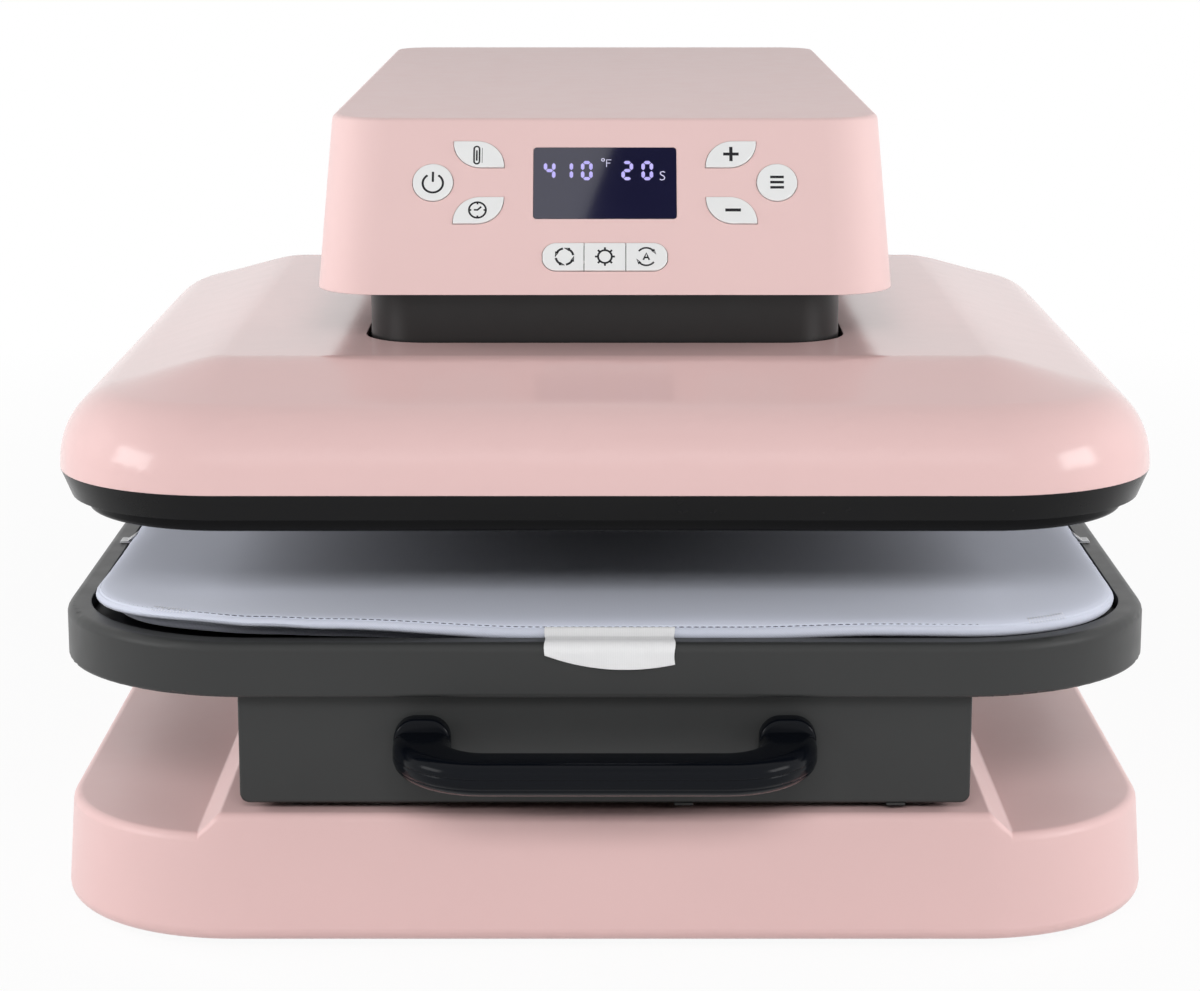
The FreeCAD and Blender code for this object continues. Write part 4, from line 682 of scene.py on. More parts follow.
def makeHandle():
    half, boxFront, stops = handlePath()
    level = (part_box("handle_bolts")[0].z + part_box("handle_bolts")[1].z) / 2
    slope = handle["drop"] / handle["reach"]
    section = barSection()
    points = []
    for place, (x, y) in enumerate(stops):
        before, after = stops[max(place - 1, 0)], stops[min(place + 1, len(stops) - 1)]
        along = Vector((after[0] - before[0], after[1] - before[1])).normalized()
        if place in (0, len(stops) - 1):
            along = Vector((0, -1)) if place == 0 else Vector((0, 1))
        across = Vector((along.y, -along.x))
        centre = Vector((x, y, level - (boxFront - y) * slope))
        for out, up in section:
            points.append(centre + Vector((across.x * out, across.y * out, up)))
    count = len(section)
    faces = gridFaces(len(stops), count, False, True)
    faces += [tuple(range(count))[::-1], tuple(range(len(points) - count, len(points)))]
    for side in (-1, 1):
        faces += bossFaces(points, side * half, boxFront, level)
    piece = newPiece("handleBar", points, faces, handleGloss)
    tidyMesh(piece)
    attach(piece, "drawer")
    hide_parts("drawer_handle")
    print("stage: handle made")


def bossFaces(points, x, front, level):
    half, depth, lip = handle["width"] / 2, handle["bossDepth"], handle["bossLip"]
    rings = [(0.0, 0.0), (0.0, depth - lip)]
    for place in range(1, handle["lipCuts"] + 1):
        angle = math.radians(90 * place / handle["lipCuts"])
        rings.append((lip * (1 - math.cos(angle)), depth - lip + lip * math.sin(angle)))
    start, count = len(points), 0
    for inset, out in rings:
        loop = roundedLoop(half - inset, half - inset, handle["bossRound"] - inset,
                           handle["bossStep"])
        count = len(loop) if not count else count
        outline = resampled([point for point, _ in loop], count)
        points.extend(Vector((x + point.x, front - out, level + point.y)) for point in outline)
    faces = [tuple(start + index for index in face)
             for face in gridFaces(len(rings), count, False, True)]
    last = start + (len(rings) - 1) * count
    faces.append(tuple(range(start, start + count))[::-1])
    faces.append(tuple(range(last, last + count)))
    return faces


def resampled(loop, count):
    # evenly spaced points around a closed outline
    closed = loop + loop[:1]
    lengths = [0.0]
    for first, second in zip(closed, closed[1:]):
        lengths.append(lengths[-1] + (second - first).length)
    made, segment = [], 0
    for place in range(count):
        target = lengths[-1] * place / count
        while lengths[segment + 1] < target:
            segment += 1
        share = (target - lengths[segment]) / max(lengths[segment + 1] - lengths[segment], 1e-12)
        made.append(closed[segment].lerp(closed[segment + 1], share))
    return made


meshTidy = {
    "weld": 0.004 * mm,
    "mostSides": 12,          # a face with more is cut into triangles
    "sharp": math.radians(35),
}


def tidyMesh(piece):
    # weld doubles, point the faces outwards and smooth all but the sharp edges
    work = bmesh.new()
    work.from_mesh(piece.data)
    bmesh.ops.remove_doubles(work, verts=work.verts, dist=meshTidy["weld"])
    wide = [face for face in work.faces if len(face.verts) > meshTidy["mostSides"]]
    bmesh.ops.triangulate(work, faces=wide)
    bmesh.ops.recalc_face_normals(work, faces=work.faces)
    for edge in work.edges:
        edge.smooth = not edge.is_manifold or edge.calc_face_angle() < meshTidy["sharp"]
    work.to_mesh(piece.data)
    work.free()
    piece.data.update()


makeHandle()

# press pad: cloth-covered cushion, a rolled edge under its seam, and stitches
pad = {
    "corner": 73.0 * mm,
    "step": 5.0 * mm,
    "seamRise": 9.6 * mm,     # seam above the mat
    "pressure": 4.0,
    "steps": 20,
    "travel": 2.6 * mm,       # most that a point of the cover moves
    "weltOut": 2.9 * mm,
    "weltTall": 2.7 * mm,
    "weltThin": 0.34,         # part of its height that it loses where the curl is highest
    "seamInset": 2.5 * mm,
    "topGap": 0.1 * mm,
    "shrink": 1.5 * mm,       # cover's outline inside the pad's own
    "knee": 1.0 * mm,         # the top levels out over this height
    "matGap": 0.1 * mm,
    "dip": 0.5 * mm,          # soft hollows of the top, and how close they lie
    "dipSize": 26.0,
    "leastCorner": 8.0 * mm,
    "curlRun": 170.0 * mm,    # the curl dies out this far from the front
    "curlTop": 0.28,          # share of the curl that the top takes
    "curlWidth": 38.0 * mm,
    # across the width: how high the front edge curls off the mat
    "curls": ((-0.215, 0.0048), (-0.167, 0.0057), (-0.139, 0.0045), (-0.110, 0.0035), (-0.026, 0.0),
              (0.055, 0.0), (0.110, 0.0013), (0.168, 0.0008), (0.215, 0.0003)),
    # profile: distance in from the outline, height above the mat
    "profile": ((0.150, 0.00015), (0.060, 0.00015), (0.0115, 0.00015), (0.0104, 0.0012),
                (0.0098, 0.0045), (0.0080, 0.0072), (0.0042, 0.0089), (0.0026, 0.0095),
                (0.0016, 0.0104), (0.0019, 0.0116), (0.0040, 0.0129), (0.0075, 0.0138),
                (0.0120, 0.0143), (0.0180, 0.0146), (0.0260, 0.0147)),
    "inward": 8.0 * mm,
    "middle": 206.0 * mm,
    "weldFrom": 40.0 * mm,    # points of the flat top from here inwards are thinned
    "weldTop": 1.0 * mm,
    "weld": 3.5 * mm,
    "weltStep": 4.0 * mm,
    "weltSides": 14,
    "weltIn": 0.1 * mm,
    "weltSwell": ((0.07, 60), (0.05, 190)),    # broad and fine unevenness, and how close it lies
    "softenFactor": 0.5,
    "softenRounds": 2,
}


padLow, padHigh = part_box("press_pad")
padCentre = (padLow + padHigh) / 2
padHalf = (padHigh - padLow) / 2
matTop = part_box("silicone_mat")[1].z
trayLow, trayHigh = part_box("tray")


def eased(share):
    share = min(1.0, max(0.0, share))
    return share * share * (3 - 2 * share)


def padLift(x, y):
    # how far the front edge curls up here
    lift = pad["curls"][0][1] if x < 0 else pad["curls"][-1][1]
    for (first, low), (second, high) in zip(pad["curls"], pad["curls"][1:]):
        if first <= x <= second:
            lift = low + (high - low) * eased((x - first) / (second - first))
    ahead = min(1.0, max(0.0, 1 - (y - padLow.y) / pad["curlRun"]))
    return lift * ahead ** 2


def padInset(x, y):
    # distance in from the pad's outline
    acrossX = abs(x) - (padHalf.x - pad["corner"])
    acrossY = abs(y - padCentre.y) - (padHalf.y - pad["corner"])
    beyond = math.hypot(max(acrossX, 0.0), max(acrossY, 0.0)) + min(max(acrossX, acrossY), 0.0)
    return pad["corner"] - beyond


def padCoverShape():
    rings = list(pad["profile"])
    while rings[-1][0] + pad["inward"] < pad["middle"]:
        rings.append((rings[-1][0] + pad["inward"], padHigh.z - matTop))
    points, count = [], 0
    for inset, rise in rings:
        loop = roundedLoop(padHalf.x - inset, padHalf.y - inset,
                           max(pad["corner"] - inset, pad["leastCorner"]), pad["step"])
        count = count or 2 * len(loop)
        for point in resampled([item[0] for item in loop], count):
            points.append(Vector((point.x, padCentre.y + point.y, matTop + rise)))
    faces = gridFaces(len(rings), count, False, True)
    last = (len(rings) - 1) * count
    faces.append(tuple(range(count))[::-1])
    faces.append(tuple(range(last, last + count)))
    return points, faces


def fillCover(piece):
    # press air into the cover, and let no point move further than its travel
    start = [point.co.copy() for point in piece.data.vertices]
    cloth = piece.modifiers.new("filling", "CLOTH")
    cloth.settings.use_pressure = True
    cloth.settings.uniform_pressure_force = pad["pressure"]
    cloth.settings.effector_weights.gravity = 0.0
    cloth.point_cache.frame_start = 1
    cloth.point_cache.frame_end = pad["steps"]
    for step in range(1, pad["steps"] + 1):
        bpy.context.scene.frame_set(step)
    filled = evaluatedMesh(piece)
    moved = [point.co.copy() for point in filled.vertices]
    piece.modifiers.remove(cloth)
    bpy.data.meshes.remove(filled)
    bpy.context.scene.frame_set(1)
    for point, before, after in zip(piece.data.vertices, start, moved):
        shift = after - before
        if shift.length > pad["travel"]:
            shift *= pad["travel"] / shift.length
        point.co = before + shift


def settlePad(piece):
    # fit the filled cover to its outline, press its top level and curl its front edge
    top, seam = padHigh.z + pad["topGap"], matTop + pad["seamRise"]
    reachX = max(abs(point.co.x) for point in piece.data.vertices)
    reachY = max(abs(point.co.y - padCentre.y) for point in piece.data.vertices)
    fitX, fitY = (padHalf.x - pad["shrink"]) / reachX, (padHalf.y - pad["shrink"]) / reachY
    knee, bend = top - pad["knee"], pad["knee"]
    for point in piece.data.vertices:
        place = point.co
        place.x *= fitX
        place.y = padCentre.y + (place.y - padCentre.y) * fitY
        if place.z > knee:
            place.z = knee + bend * math.tanh((place.z - knee) / bend)
        place.z = max(place.z, matTop + pad["matGap"])
        inset = padInset(place.x, place.y)
        above = eased((place.z - seam) / (top - seam))
        share = 1 + (pad["curlTop"] * (1 - eased(inset / pad["curlWidth"])) - 1) * above
        if place.z > seam:
            place.z -= pad["dip"] * above * (0.5 + 0.5 * noise.noise(place * pad["dipSize"]))
        place.z += padLift(place.x, place.y) * share
        point.co = place


def thinMiddle(piece):
    # the rings of the flat top crowd together towards its middle, so merge points there
    work = bmesh.new()
    work.from_mesh(piece.data)
    middle = [point for point in work.verts if point.co.z > padHigh.z - pad["weldTop"]
              and padInset(point.co.x, point.co.y) > pad["weldFrom"]]
    bmesh.ops.remove_doubles(work, verts=middle, dist=pad["weld"])
    work.to_mesh(piece.data)
    work.free()


def makePadCover():
    points, faces = padCoverShape()
    piece = newPiece("padCover", points, faces, padTwill)
    thinMiddle(piece)
    tidyMesh(piece)
    fillCover(piece)
    soften = piece.modifiers.new("soften", "SMOOTH")
    soften.factor = pad["softenFactor"]
    soften.iterations = pad["softenRounds"]
    settle(piece)
    settlePad(piece)
    piece.data.shade_smooth()
    finer = piece.modifiers.new("finer", "SUBSURF")
    finer.levels = finer.render_levels = 1
    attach(piece, "drawer")
    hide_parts("press_pad")
    return piece


def seamLoop(inset, rise, step):
    loop = roundedLoop(padHalf.x - inset, padHalf.y - inset, pad["corner"] - inset, step)
    made = []
    for point, outward in loop:
        x, y = point.x, padCentre.y + point.y
        made.append((Vector((x, y, matTop + rise + padLift(x, y))), Vector((*outward, 0))))
    return made


def makeWelt():
    # fabric roll below the seam
    loop = seamLoop(pad["weltOut"] + pad["weltIn"], pad["seamRise"], pad["weltStep"])
    points, sides = [], pad["weltSides"]
    highest = max(lift for _, lift in pad["curls"])
    (broad, broadSize), (fine, fineSize) = pad["weltSwell"]
    for seam, outward in loop:
        swell = 1 + broad * noise.noise(seam * broadSize) + fine * noise.noise(seam * fineSize)
        tall = pad["weltTall"] * (1 - pad["weltThin"] * padLift(seam.x, seam.y) / highest)
        centre = seam - Vector((0, 0, tall))
        for side in range(sides):
            angle = 2 * math.pi * side / sides
            points.append(centre + outward * math.cos(angle) * pad["weltOut"] * swell
                          + Vector((0, 0, math.sin(angle) * tall)))
    piece = newPiece("padWelt", points, gridFaces(len(loop), sides, True, True), padTwill)
    tidyMesh(piece)
    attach(piece, "drawer")


padCover = makePadCover()
makeWelt()
print("stage: pad made")


# stitches
def pathTree(name, finish, build):
    sheet, given = newTree(name, Pitch="Float", Length="Float", Thickness="Float")
    return closeTree(sheet, build(sheet, given), finish)


def runningStitch(sheet, given):
    curve = sheet.add("GeometryNodeMeshToCurve", None, {"Mesh": given["Geometry"]})
    curve = sheet.add("GeometryNodeResampleCurve", {"mode": "LENGTH"},
                      {"Curve": curve, "Length": given["Pitch"]})
    stitch = sheet.add("GeometryNodeMeshUVSphere", None, {"Segments": 6, "Rings": 4, "Radius": 0.5})
    size = sheet.add("ShaderNodeCombineXYZ", None,
                     {0: given["Thickness"], 1: given["Thickness"], 2: given["Length"]})
    stitch = sheet.add("GeometryNodeTransform", None, {"Geometry": stitch, "Scale": size})
    turn = sheet.add("FunctionNodeAlignRotationToVector", {"axis": "Z"},
                     {"Vector": sheet.add("GeometryNodeInputTangent")})
    return sheet.add("GeometryNodeInstanceOnPoints", None,
                     {"Points": curve, "Instance": stitch, "Rotation": turn})


def thread(sheet, given):
    curve = sheet.add("GeometryNodeMeshToCurve", None, {"Mesh": given["Geometry"]})
    ring = sheet.add("GeometryNodeCurvePrimitiveCircle", {"mode": "RADIUS"},
                     {"Resolution": 6, "Radius": given["Thickness"] * 0.5})
    return sheet.add("GeometryNodeCurveToMesh", None,
                     {"Curve": curve, "Profile Curve": ring, "Fill Caps": True})


def growAlong(name, points, closed, tree, values, body):
    # a line through the points, which the tree turns into stitches or thread
    mesh = bpy.data.meshes.new(name)
    edges = [(place, place + 1) for place in range(len(points) - 1)]
    if closed:
        edges.append((len(points) - 1, 0))
    mesh.from_pydata([tuple(point) for point in points], edges, [])
    piece = placed(name, mesh)
    modifier = piece.modifiers.new("grow", "NODES")
    modifier.node_group = tree
    setInputs(modifier, values)
    settle(piece)
    piece.data.shade_smooth()
    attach(piece, body)


stitching = {
    "seam": {"Pitch": 2.9 * mm, "Length": 2.6 * mm, "Thickness": 0.48 * mm},
    "tack": {"Pitch": 1.0 * mm, "Length": 1.0 * mm, "Thickness": 0.30 * mm},
    "tackPlaces": (-176 * mm, 180 * mm),
    "tackWidth": 17.0 * mm,
    "tackTall": 3.6 * mm,
    "tackPitch": 1.25 * mm,
    "tackStep": 0.5 * mm,
    "tackInset": 1.0 * mm,
    "tackDown": 0.1,          # its low points, and how far it leans back
    "tackLean": 0.6,
    "tackLift": 0.2 * mm,
    "seamOut": 0.3 * mm,      # stitches outside the seam and above it
    "seamUp": 0.15 * mm,
    "seamStep": 4.0 * mm,
}


def makeStitches():
    seam = seamLoop(pad["seamInset"] - stitching["seamOut"], pad["seamRise"] + stitching["seamUp"],
                    stitching["seamStep"])
    tree = pathTree("runningStitch", threadLavender, runningStitch)
    growAlong("padSeam", [point for point, _ in seam], True, tree, stitching["seam"],
              "drawer")
    tree = pathTree("tackThread", threadWhite, thread)
    bpy.context.view_layer.update()
    cloth = BVHTree.FromObject(padCover, bpy.context.evaluated_depsgraph_get())
    for side, middle in enumerate(stitching["tackPlaces"]):
        edge = seamLoop(stitching["tackInset"], pad["seamRise"], stitching["tackStep"])
        front = [(point, outward) for point, outward in edge
                 if abs(point.x - middle) < stitching["tackWidth"] / 2 and outward.y < 0]
        front.sort(key=lambda item: item[0].x)
        zigzag, count = [], int(stitching["tackWidth"] / stitching["tackPitch"])
        for place in range(count * 2):
            point, outward = front[min(len(front) - 1, place * len(front) // (2 * count))]
            up = 1 if place % 2 else -stitching["tackDown"]
            lean = Vector((0, 0, 1)) - outward * stitching["tackLean"]
            nearest, normal, _, _ = cloth.find_nearest(point + lean * stitching["tackTall"] * up)
            zigzag.append(nearest + normal * stitching["tackLift"])
        growAlong(f"padTack{side + 1}", zigzag, False, tree, stitching["tack"],
                  "drawer")
    print("stage: stitches made")


makeStitches()

# blank woven label over the tray's front rim, and the small loops at the sides
label = {
    "width": 52.0 * mm,
    "middle": 1.9 * mm,
    "hang": 10.7 * mm,
    "thickness": 0.55 * mm,
    "bow": 3.6 * mm,          # its sides are tucked in by up to this much
    "lowest": 0.24,           # where across it, from -1 to 1, it hangs lowest
    "bowPower": 2.3,
    "bend": 4.6 * mm,
    "bendCuts": 8,
    "rise": 0.35 * mm,        # its middle above the rim
    # in mm: out from the pad's front and up from its seam, then up from the rim
    "leave": ((2.0, -0.1), (1.4, 0.0), (-0.5, -1.5)),
    "meet": (-2.4, 0.5),
    "offRim": (0.5 * mm, 0.1 * mm),
    "hangCuts": 6,
    "flare": 0.5 * mm,
    "flareTurn": (4.4, 0.6),
    "flareOut": 0.35 * mm,
    "flareIn": 0.1 * mm,
    "edgeWave": 0.25 * mm,
    "edgeTurn": 0.3,
    "edgeRound": 0.12 * mm,
    "rows": 44,
    "columns": 27,
}


def labelPath(side):
    # side runs from -1 to 1 across the label
    tuck = label["bow"] * abs(side - label["lowest"]) ** label["bowPower"]
    seam, rim, bend = matTop + pad["seamRise"], trayHigh.z + label["rise"], label["bend"]
    path = []
    for place, (out, up) in enumerate(label["leave"]):
        path.append(Vector((padLow.y + out * mm + (0 if place else tuck), seam + up * mm)))
    path.append(Vector((padLow.y + label["meet"][0] * mm, rim + label["meet"][1] * mm)))
    centre = Vector((trayLow.y + bend - label["offRim"][0], rim - bend + label["offRim"][1]))
    for place in range(label["bendCuts"] + 1):
        angle = math.radians(90 + 90 * place / label["bendCuts"])
        path.append(centre + Vector((math.cos(angle), math.sin(angle))) * bend)
    hang = label["hang"] - bend - tuck
    last, (turn, start) = path[-1], label["flareTurn"]
    for place in range(1, label["hangCuts"] + 1):
        share = place / label["hangCuts"]
        flare = label["flare"] * math.sin(side * turn + start) * share
        flare += label["flareOut"] * share
        path.append(last + Vector((-max(flare, -label["flareIn"]), -hang * share)))
    return path


def makeLabel():
    rows, columns = label["rows"], label["columns"]
    points, lengths = [], []
    for column in range(columns):
        side = 2 * column / (columns - 1) - 1
        path = labelPath(side)
        runs = [0.0]
        for first, second in zip(path, path[1:]):
            runs.append(runs[-1] + (second - first).length)
        lengths.append(runs[-1])
        segment = 0
        for row in range(rows):
            target = runs[-1] * row / (rows - 1)
            while segment < len(path) - 2 and runs[segment + 1] < target:
                segment += 1
            share = (target - runs[segment]) / (runs[segment + 1] - runs[segment])
            place = path[segment].lerp(path[segment + 1], share)
            wave = label["edgeWave"] * math.sin(row * label["edgeTurn"]) * abs(side)
            x = label["middle"] + side * label["width"] / 2 + wave
            points.append(Vector((x, place.x, place.y)))
    piece = newPiece("padLabel", points, gridFaces(columns, rows), labelWhite)
    tidyMesh(piece)
    thick = piece.modifiers.new("thickness", "SOLIDIFY")
    thick.thickness = label["thickness"]
    thick.offset = 0.0
    edges = piece.modifiers.new("edges", "BEVEL")
    edges.width = label["edgeRound"]
    edges.segments = 2
    edges.limit_method = "ANGLE"
    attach(piece, "drawer")
    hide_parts("pad_tags")


loops = {
    "setback": 175.0 * mm,
    "width": 8.0 * mm,
    "thickness": 0.35 * mm,
    "cuts": 5,
    # in mm: out from the pad, and up from the tray's rim
    "out": ((2.5, 1.0), (5.0, 1.1)),
    "fold": (5.0, 0.6),
    "foldHalf": (0.75, 0.5),
    "foldCuts": 8,
    "back": ((5.0, 0.2), (2.5, 0.15), (0.5, 0.05)),
    "start": (-1.5, 0.4),     # up from the pad's seam
}


def makeLoops():
    seam, rim, cuts = matTop + pad["seamRise"], trayHigh.z, loops["cuts"]
    path = [(loops["start"][0], seam + loops["start"][1] * mm)]
    path += [(out, rim + up * mm) for out, up in loops["out"]]
    for place in range(1, loops["foldCuts"]):
        angle = math.radians(90 - 180 * place / loops["foldCuts"])
        path.append((loops["fold"][0] + loops["foldHalf"][0] * math.cos(angle),
                     rim + (loops["fold"][1] + loops["foldHalf"][1] * math.sin(angle)) * mm))
    path += [(out, rim + up * mm) for out, up in loops["back"]]
    for side, name in ((-1, "padLoopLeft"), (1, "padLoopRight")):
        points = []
        for out, z in path:
            for cut in range(cuts):
                y = padLow.y + loops["setback"] + loops["width"] * (cut / (cuts - 1) - 0.5)
                points.append(Vector((side * (padHigh.x + out * mm), y, z)))
        piece = newPiece(name, points, gridFaces(len(path), cuts), labelWhite)
        tidyMesh(piece)
        thick = piece.modifiers.new("thickness", "SOLIDIFY")
        thick.thickness = loops["thickness"]
        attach(piece, "drawer")


makeLabel()
makeLoops()

# control panel: prints on the keys and digits in the display
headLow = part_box("head_cover")[0]
keyAxis = next(Vector(joint["axis"]) for joint in frame["joints"]
               if joint["name"] == "power_key_press")
panelOut = -keyAxis.normalized()
panelUp = Vector((0, panelOut.z, -panelOut.y))
panelStart = Vector((0, headLow.y, headLow.z))
panel = {
    "keyProud": 0.7 * mm,
    "inkFlatness": 0.14,
    "roundKey": (73.0, 51.5),
    "leaf": (53.6, 38.6, 64.6),
    "row": (17.6, 17.2),
    "displayUp": 51.4,
}


def onPanel(x, up, out):
    # a place on the leaning panel: across it, up along it and out from it
    return panelStart + Vector((x, 0, 0)) + panelUp * up + panelOut * out


def ring(radius, start=0.0, end=360.0, steps=30, centre=(0.0, 0.0)):
    closed = end - start >= 360
    count = steps if closed else steps + 1
    points = []
    for place in range(count):
        angle = math.radians(start + (end - start) * place / steps)
        points.append((centre[0] + radius * math.cos(angle), centre[1] + radius * math.sin(angle)))
    return points, closed


def stroke(*points):
    return list(points), False


def arrowHead(radius, angle, size, forward):
    tip = math.radians(angle)
    centre = (radius * math.cos(tip), radius * math.sin(tip))
    heading = tip + math.copysign(math.pi / 2, forward)
    points = []
    for spread in (math.radians(150), 0.0, math.radians(-150)):
        reach = size if spread == 0 else size * 0.8
        points.append((centre[0] + reach * math.cos(heading + spread),
                       centre[1] + reach * math.sin(heading + spread)))
    return points, True


def inkPiece(name, strokes, width, place, body, finish, level):
    # raised print drawn in mm across and up the panel, flattened to a thin layer of ink
    curve = bpy.data.curves.new(name, "CURVE")
    curve.dimensions = "3D"
    curve.bevel_depth = width / 2
    curve.bevel_resolution = 1
    curve.use_fill_caps = True
    for points, closed in strokes:
        spline = curve.splines.new("POLY")
        spline.points.add(len(points) - 1)
        for point, (x, up) in zip(spline.points, points):
            point.co = (x, up, 0.0, 1.0)
        spline.use_cyclic_u = closed
    holder = placed(name + "Line", curve)
    mesh = evaluatedMesh(holder)
    bpy.data.objects.remove(holder)
    for point in mesh.vertices:
        x, up, out = point.co
        point.co = onPanel((place[0] + x) * mm, (place[1] + up) * mm,
                           level + out * mm * panel["inkFlatness"])
    mesh.materials.clear()
    mesh.materials.append(finish)
    piece = placed(name, mesh)
    tidyMesh(piece)
    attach(piece, body)


def keyPrints():
    roundX, roundUp = panel["roundKey"]
    leafX, leafLow, leafHigh = panel["leaf"]
    pitch, rowUp = panel["row"]
    cycle = []
    for turn in (10, 100, 190, 280):
        cycle.append(ring(3.7, turn, turn + 58, 10))
        cycle.append(arrowHead(3.7, turn + 62, 1.15, 1))
    rays = [stroke((3.3 * math.cos(angle), 3.3 * math.sin(angle)),
                   (4.2 * math.cos(angle), 4.2 * math.sin(angle)))
            for angle in (math.radians(45 * place) for place in range(8))]
    ticks = [stroke((2.6 * math.cos(angle), 2.6 * math.sin(angle)),
                    (3.5 * math.cos(angle), 3.5 * math.sin(angle)))
             for angle in (math.radians(90 * place) for place in range(4))]
    auto = [ring(4.0, 38, 142, 14), ring(4.0, 218, 322, 14),
            arrowHead(4.0, 34, 1.2, -1), arrowHead(4.0, 214, 1.2, -1),
            stroke((-1.25, -1.5), (0.0, 1.6), (1.25, -1.5)), stroke((-0.75, -0.4), (0.75, -0.4))]
    capsule = ring(1.15, 0, 180, 10, (0.0, 2.9))[0] + ring(1.15, 180, 360, 10, (0.0, -2.9))[0]
    thermometer = [(capsule, True), stroke((0.0, -2.6), (0.0, 2.2))]
    prints = (
        ("power", (-roundX, roundUp - 0.5), 0.95,
         [ring(4.3, 122, 418, 34), stroke((0, 0.6), (0, 5.3))]),
        ("temperature", (-leafX - 0.9, leafHigh - 0.5), 0.72, thermometer),
        ("timer", (-leafX - 0.3, leafLow), 0.80,
         [ring(3.6), *ticks, stroke((-1.5, 0.1), (0.0, 0.0), (1.6, 1.5))]),
        ("plus", (leafX, leafHigh), 1.40,
         [stroke((-3.3, 0), (3.3, 0)), stroke((0, -3.3), (0, 3.3))]),
        ("minus", (leafX + 0.6, leafLow), 1.40, [stroke((-3.3, 0), (3.3, 0))]),
        ("function", (roundX, roundUp), 1.20,
         [stroke((-2.9, up), (2.9, up)) for up in (-2.4, 0.0, 2.4)]),
        ("cycle", (-pitch + 0.6, rowUp), 0.95, cycle),
        ("light", (0.0, rowUp), 0.85, [ring(2.9), *rays]),
        ("auto", (pitch - 0.2, rowUp), 0.78, auto),
    )
    for name, place, width, strokes in prints:
        inkPiece(name + "Print", strokes, width, place, name + "_key", inkDark,
                 panel["keyProud"])
    inkPiece("temperatureScale", [stroke((0, -3.6), (0, 3.4))], 0.22,
             (-leafX + 1.4, leafHigh - 0.5), "temperature_key", inkDark,
             panel["keyProud"])
    print("stage: key prints made,", len(prints) + 1)


digits = {
    "width": 5.0,
    "tall": 9.0,
    "thick": 1.5,
    "gap": 0.22,
    "level": 0.03 * mm,
    "places": (("4", -23.5), ("1", -16.0), ("0", -7.7), ("2", 9.5), ("0", 18.0)),
    "middleUp": 5.8,
}
lit = {"0": "abcdef", "1": "bc", "2": "abged", "4": "fgbc"}


def segmentOutline(length, thick):
    half, side = length / 2 - digits["gap"], thick / 2
    return [(-half, 0), (-half + side, side), (half - side, side), (half, 0),
            (half - side, -side), (-half + side, -side)]


def digitSegments(shown):
    thick = digits["thick"]
    width, tall = digits["width"] - thick, digits["tall"] - thick
    layout = {"a": (0, tall / 2, 0), "g": (0, 0, 0), "d": (0, -tall / 2, 0),
              "f": (-width / 2, tall / 4, 1), "b": (width / 2, tall / 4, 1),
              "e": (-width / 2, -tall / 4, 1), "c": (width / 2, -tall / 4, 1)}
    made = []
    for letter in lit[shown]:
        x, up, upright = layout[letter]
        outline = segmentOutline(tall / 2 if upright else width, thick)
        if upright:
            outline = [(-v, u) for u, v in outline]
        made.append([(x + u, up + v) for u, v in outline])
    return made


def displayDigits():
    points, faces = [], []
    middleUp = panel["displayUp"] + digits["middleUp"]
    for shown, x in digits["places"]:
        for outline in digitSegments(shown):
            start, count = len(points), len(outline)
            for level in (-digits["level"], digits["level"]):
                points += [onPanel((x + u) * mm, (middleUp + v) * mm, level) for u, v in outline]
            faces.append(tuple(range(start, start + count))[::-1])
            faces.append(tuple(range(start + count, start + 2 * count)))
            faces += [(start + place, start + (place + 1) % count,
                       start + count + (place + 1) % count, start + count + place)
                      for place in range(count)]
    piece = newPiece("displayDigits", points, faces, segmentViolet, False)
    tidyMesh(piece)
    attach(piece, "base")
    unit = [ring(0.62, 0, 360, 12, (-1.0, 1.6)), stroke((0.5, -1.7), (0.5, 1.6), (2.5, 1.6)),
            stroke((0.5, 0.1), (2.1, 0.1))]
    seconds = [([(1.1, 1.5), (0.3, 2.0), (-0.7, 1.7), (-0.9, 0.9), (-0.3, 0.3), (0.5, -0.1),
                 (1.0, -0.8), (0.7, -1.7), (-0.3, -2.0), (-1.1, -1.6)], False)]
    up = panel["displayUp"]
    inkPiece("displayUnit", unit, 0.34, (0.2, up + 9.2), "base", segmentPale,
             digits["level"])
    inkPiece("displaySeconds", seconds, 0.42, (24.4, up + 3.4), "base", segmentPale,
             digits["level"])
    print("stage: display lit")


keyPrints()
displayDigits()


# cross drives of the screws at the back and underneath
drives = {
    "armLength": 4.6 * mm,
    "armWidth": 0.9 * mm,
    "depth": 0.12 * mm,
    "panelEdge": 4.0 * mm,    # screws in from the rear panel's edges, and their heads out
    "headTall": 2.2 * mm,
    "footRadius": 13.0 * mm,
    "footScrewUp": 1.0 * mm,
    "seed": 7,
}


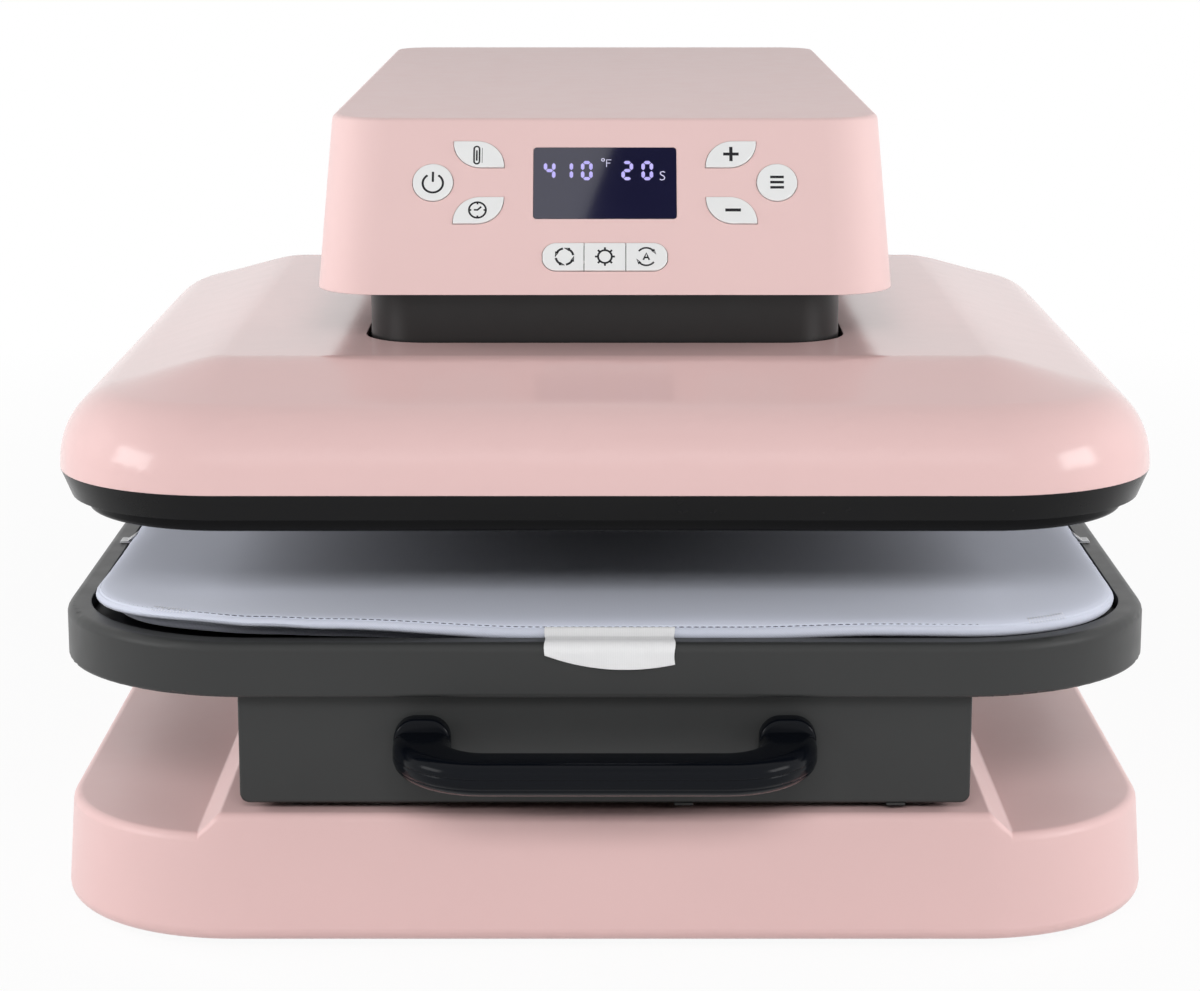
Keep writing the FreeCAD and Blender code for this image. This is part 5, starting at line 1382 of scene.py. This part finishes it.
def driveTree(finish):
    sheet, given = newTree("screwDrives", Arm_length="Float", Arm_width="Float", Depth="Float",
                           Facing="Vector", Seed="Int")
    joint = sheet.tree.nodes.new("GeometryNodeJoinGeometry")
    for order in (("Arm length", "Arm width", "Depth"), ("Arm width", "Arm length", "Depth")):
        size = sheet.add("ShaderNodeCombineXYZ", None,
                         {place: given[name] for place, name in enumerate(order)})
        arm = sheet.add("GeometryNodeMeshCube", None, {"Size": size})
        sheet.tree.links.new(arm.socket, joint.inputs[0])
    facing = sheet.add("FunctionNodeAlignRotationToVector", {"axis": "Z"},
                       {"Vector": given["Facing"]})
    spin = sheet.add("FunctionNodeRandomValue", {"data_type": "FLOAT"},
                     {2: 0.0, 3: math.pi, "Seed": given["Seed"]}, 1)
    twist = sheet.add("FunctionNodeAxisAngleToRotation", None, {"Axis": (0, 0, 1), "Angle": spin})
    turned = sheet.add("FunctionNodeRotateRotation", {"rotation_space": "LOCAL"},
                       {"Rotation": facing, "Rotate By": twist})
    shape = sheet.add("GeometryNodeInstanceOnPoints", None,
                      {"Points": given["Geometry"], "Instance": Wire(sheet, joint.outputs[0]),
                       "Rotation": turned})
    return closeTree(sheet, shape, finish)


def makeDrives():
    tree = driveTree(inkDark)
    panelLow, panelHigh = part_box("rear_panel")
    edge, back = drives["panelEdge"], panelHigh.y + drives["headTall"]
    rear = [Vector((x, back, z)) for x in (panelLow.x + edge, panelHigh.x - edge)
            for z in (panelLow.z + edge, panelHigh.z - edge)]
    feetLow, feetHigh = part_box("rubber_feet")
    radius = drives["footRadius"]
    under = [Vector((x, y, drives["footScrewUp"]))
             for x in (feetLow.x + radius, feetHigh.x - radius)
             for y in (feetLow.y + radius, feetHigh.y - radius)]
    for name, places, facing in (("rearScrewDrives", rear, (0, 1, 0)),
                                 ("footScrewDrives", under, (0, 0, -1))):
        mesh = bpy.data.meshes.new(name)
        mesh.from_pydata([tuple(place) for place in places], [], [])
        piece = placed(name, mesh)
        modifier = piece.modifiers.new("drives", "NODES")
        modifier.node_group = tree
        setInputs(modifier, {"Arm length": drives["armLength"], "Arm width": drives["armWidth"],
                             "Depth": drives["depth"], "Facing": facing, "Seed": drives["seed"]})
        settle(piece)
        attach(piece, "base")
    print("stage: screw drives made")


makeDrives()
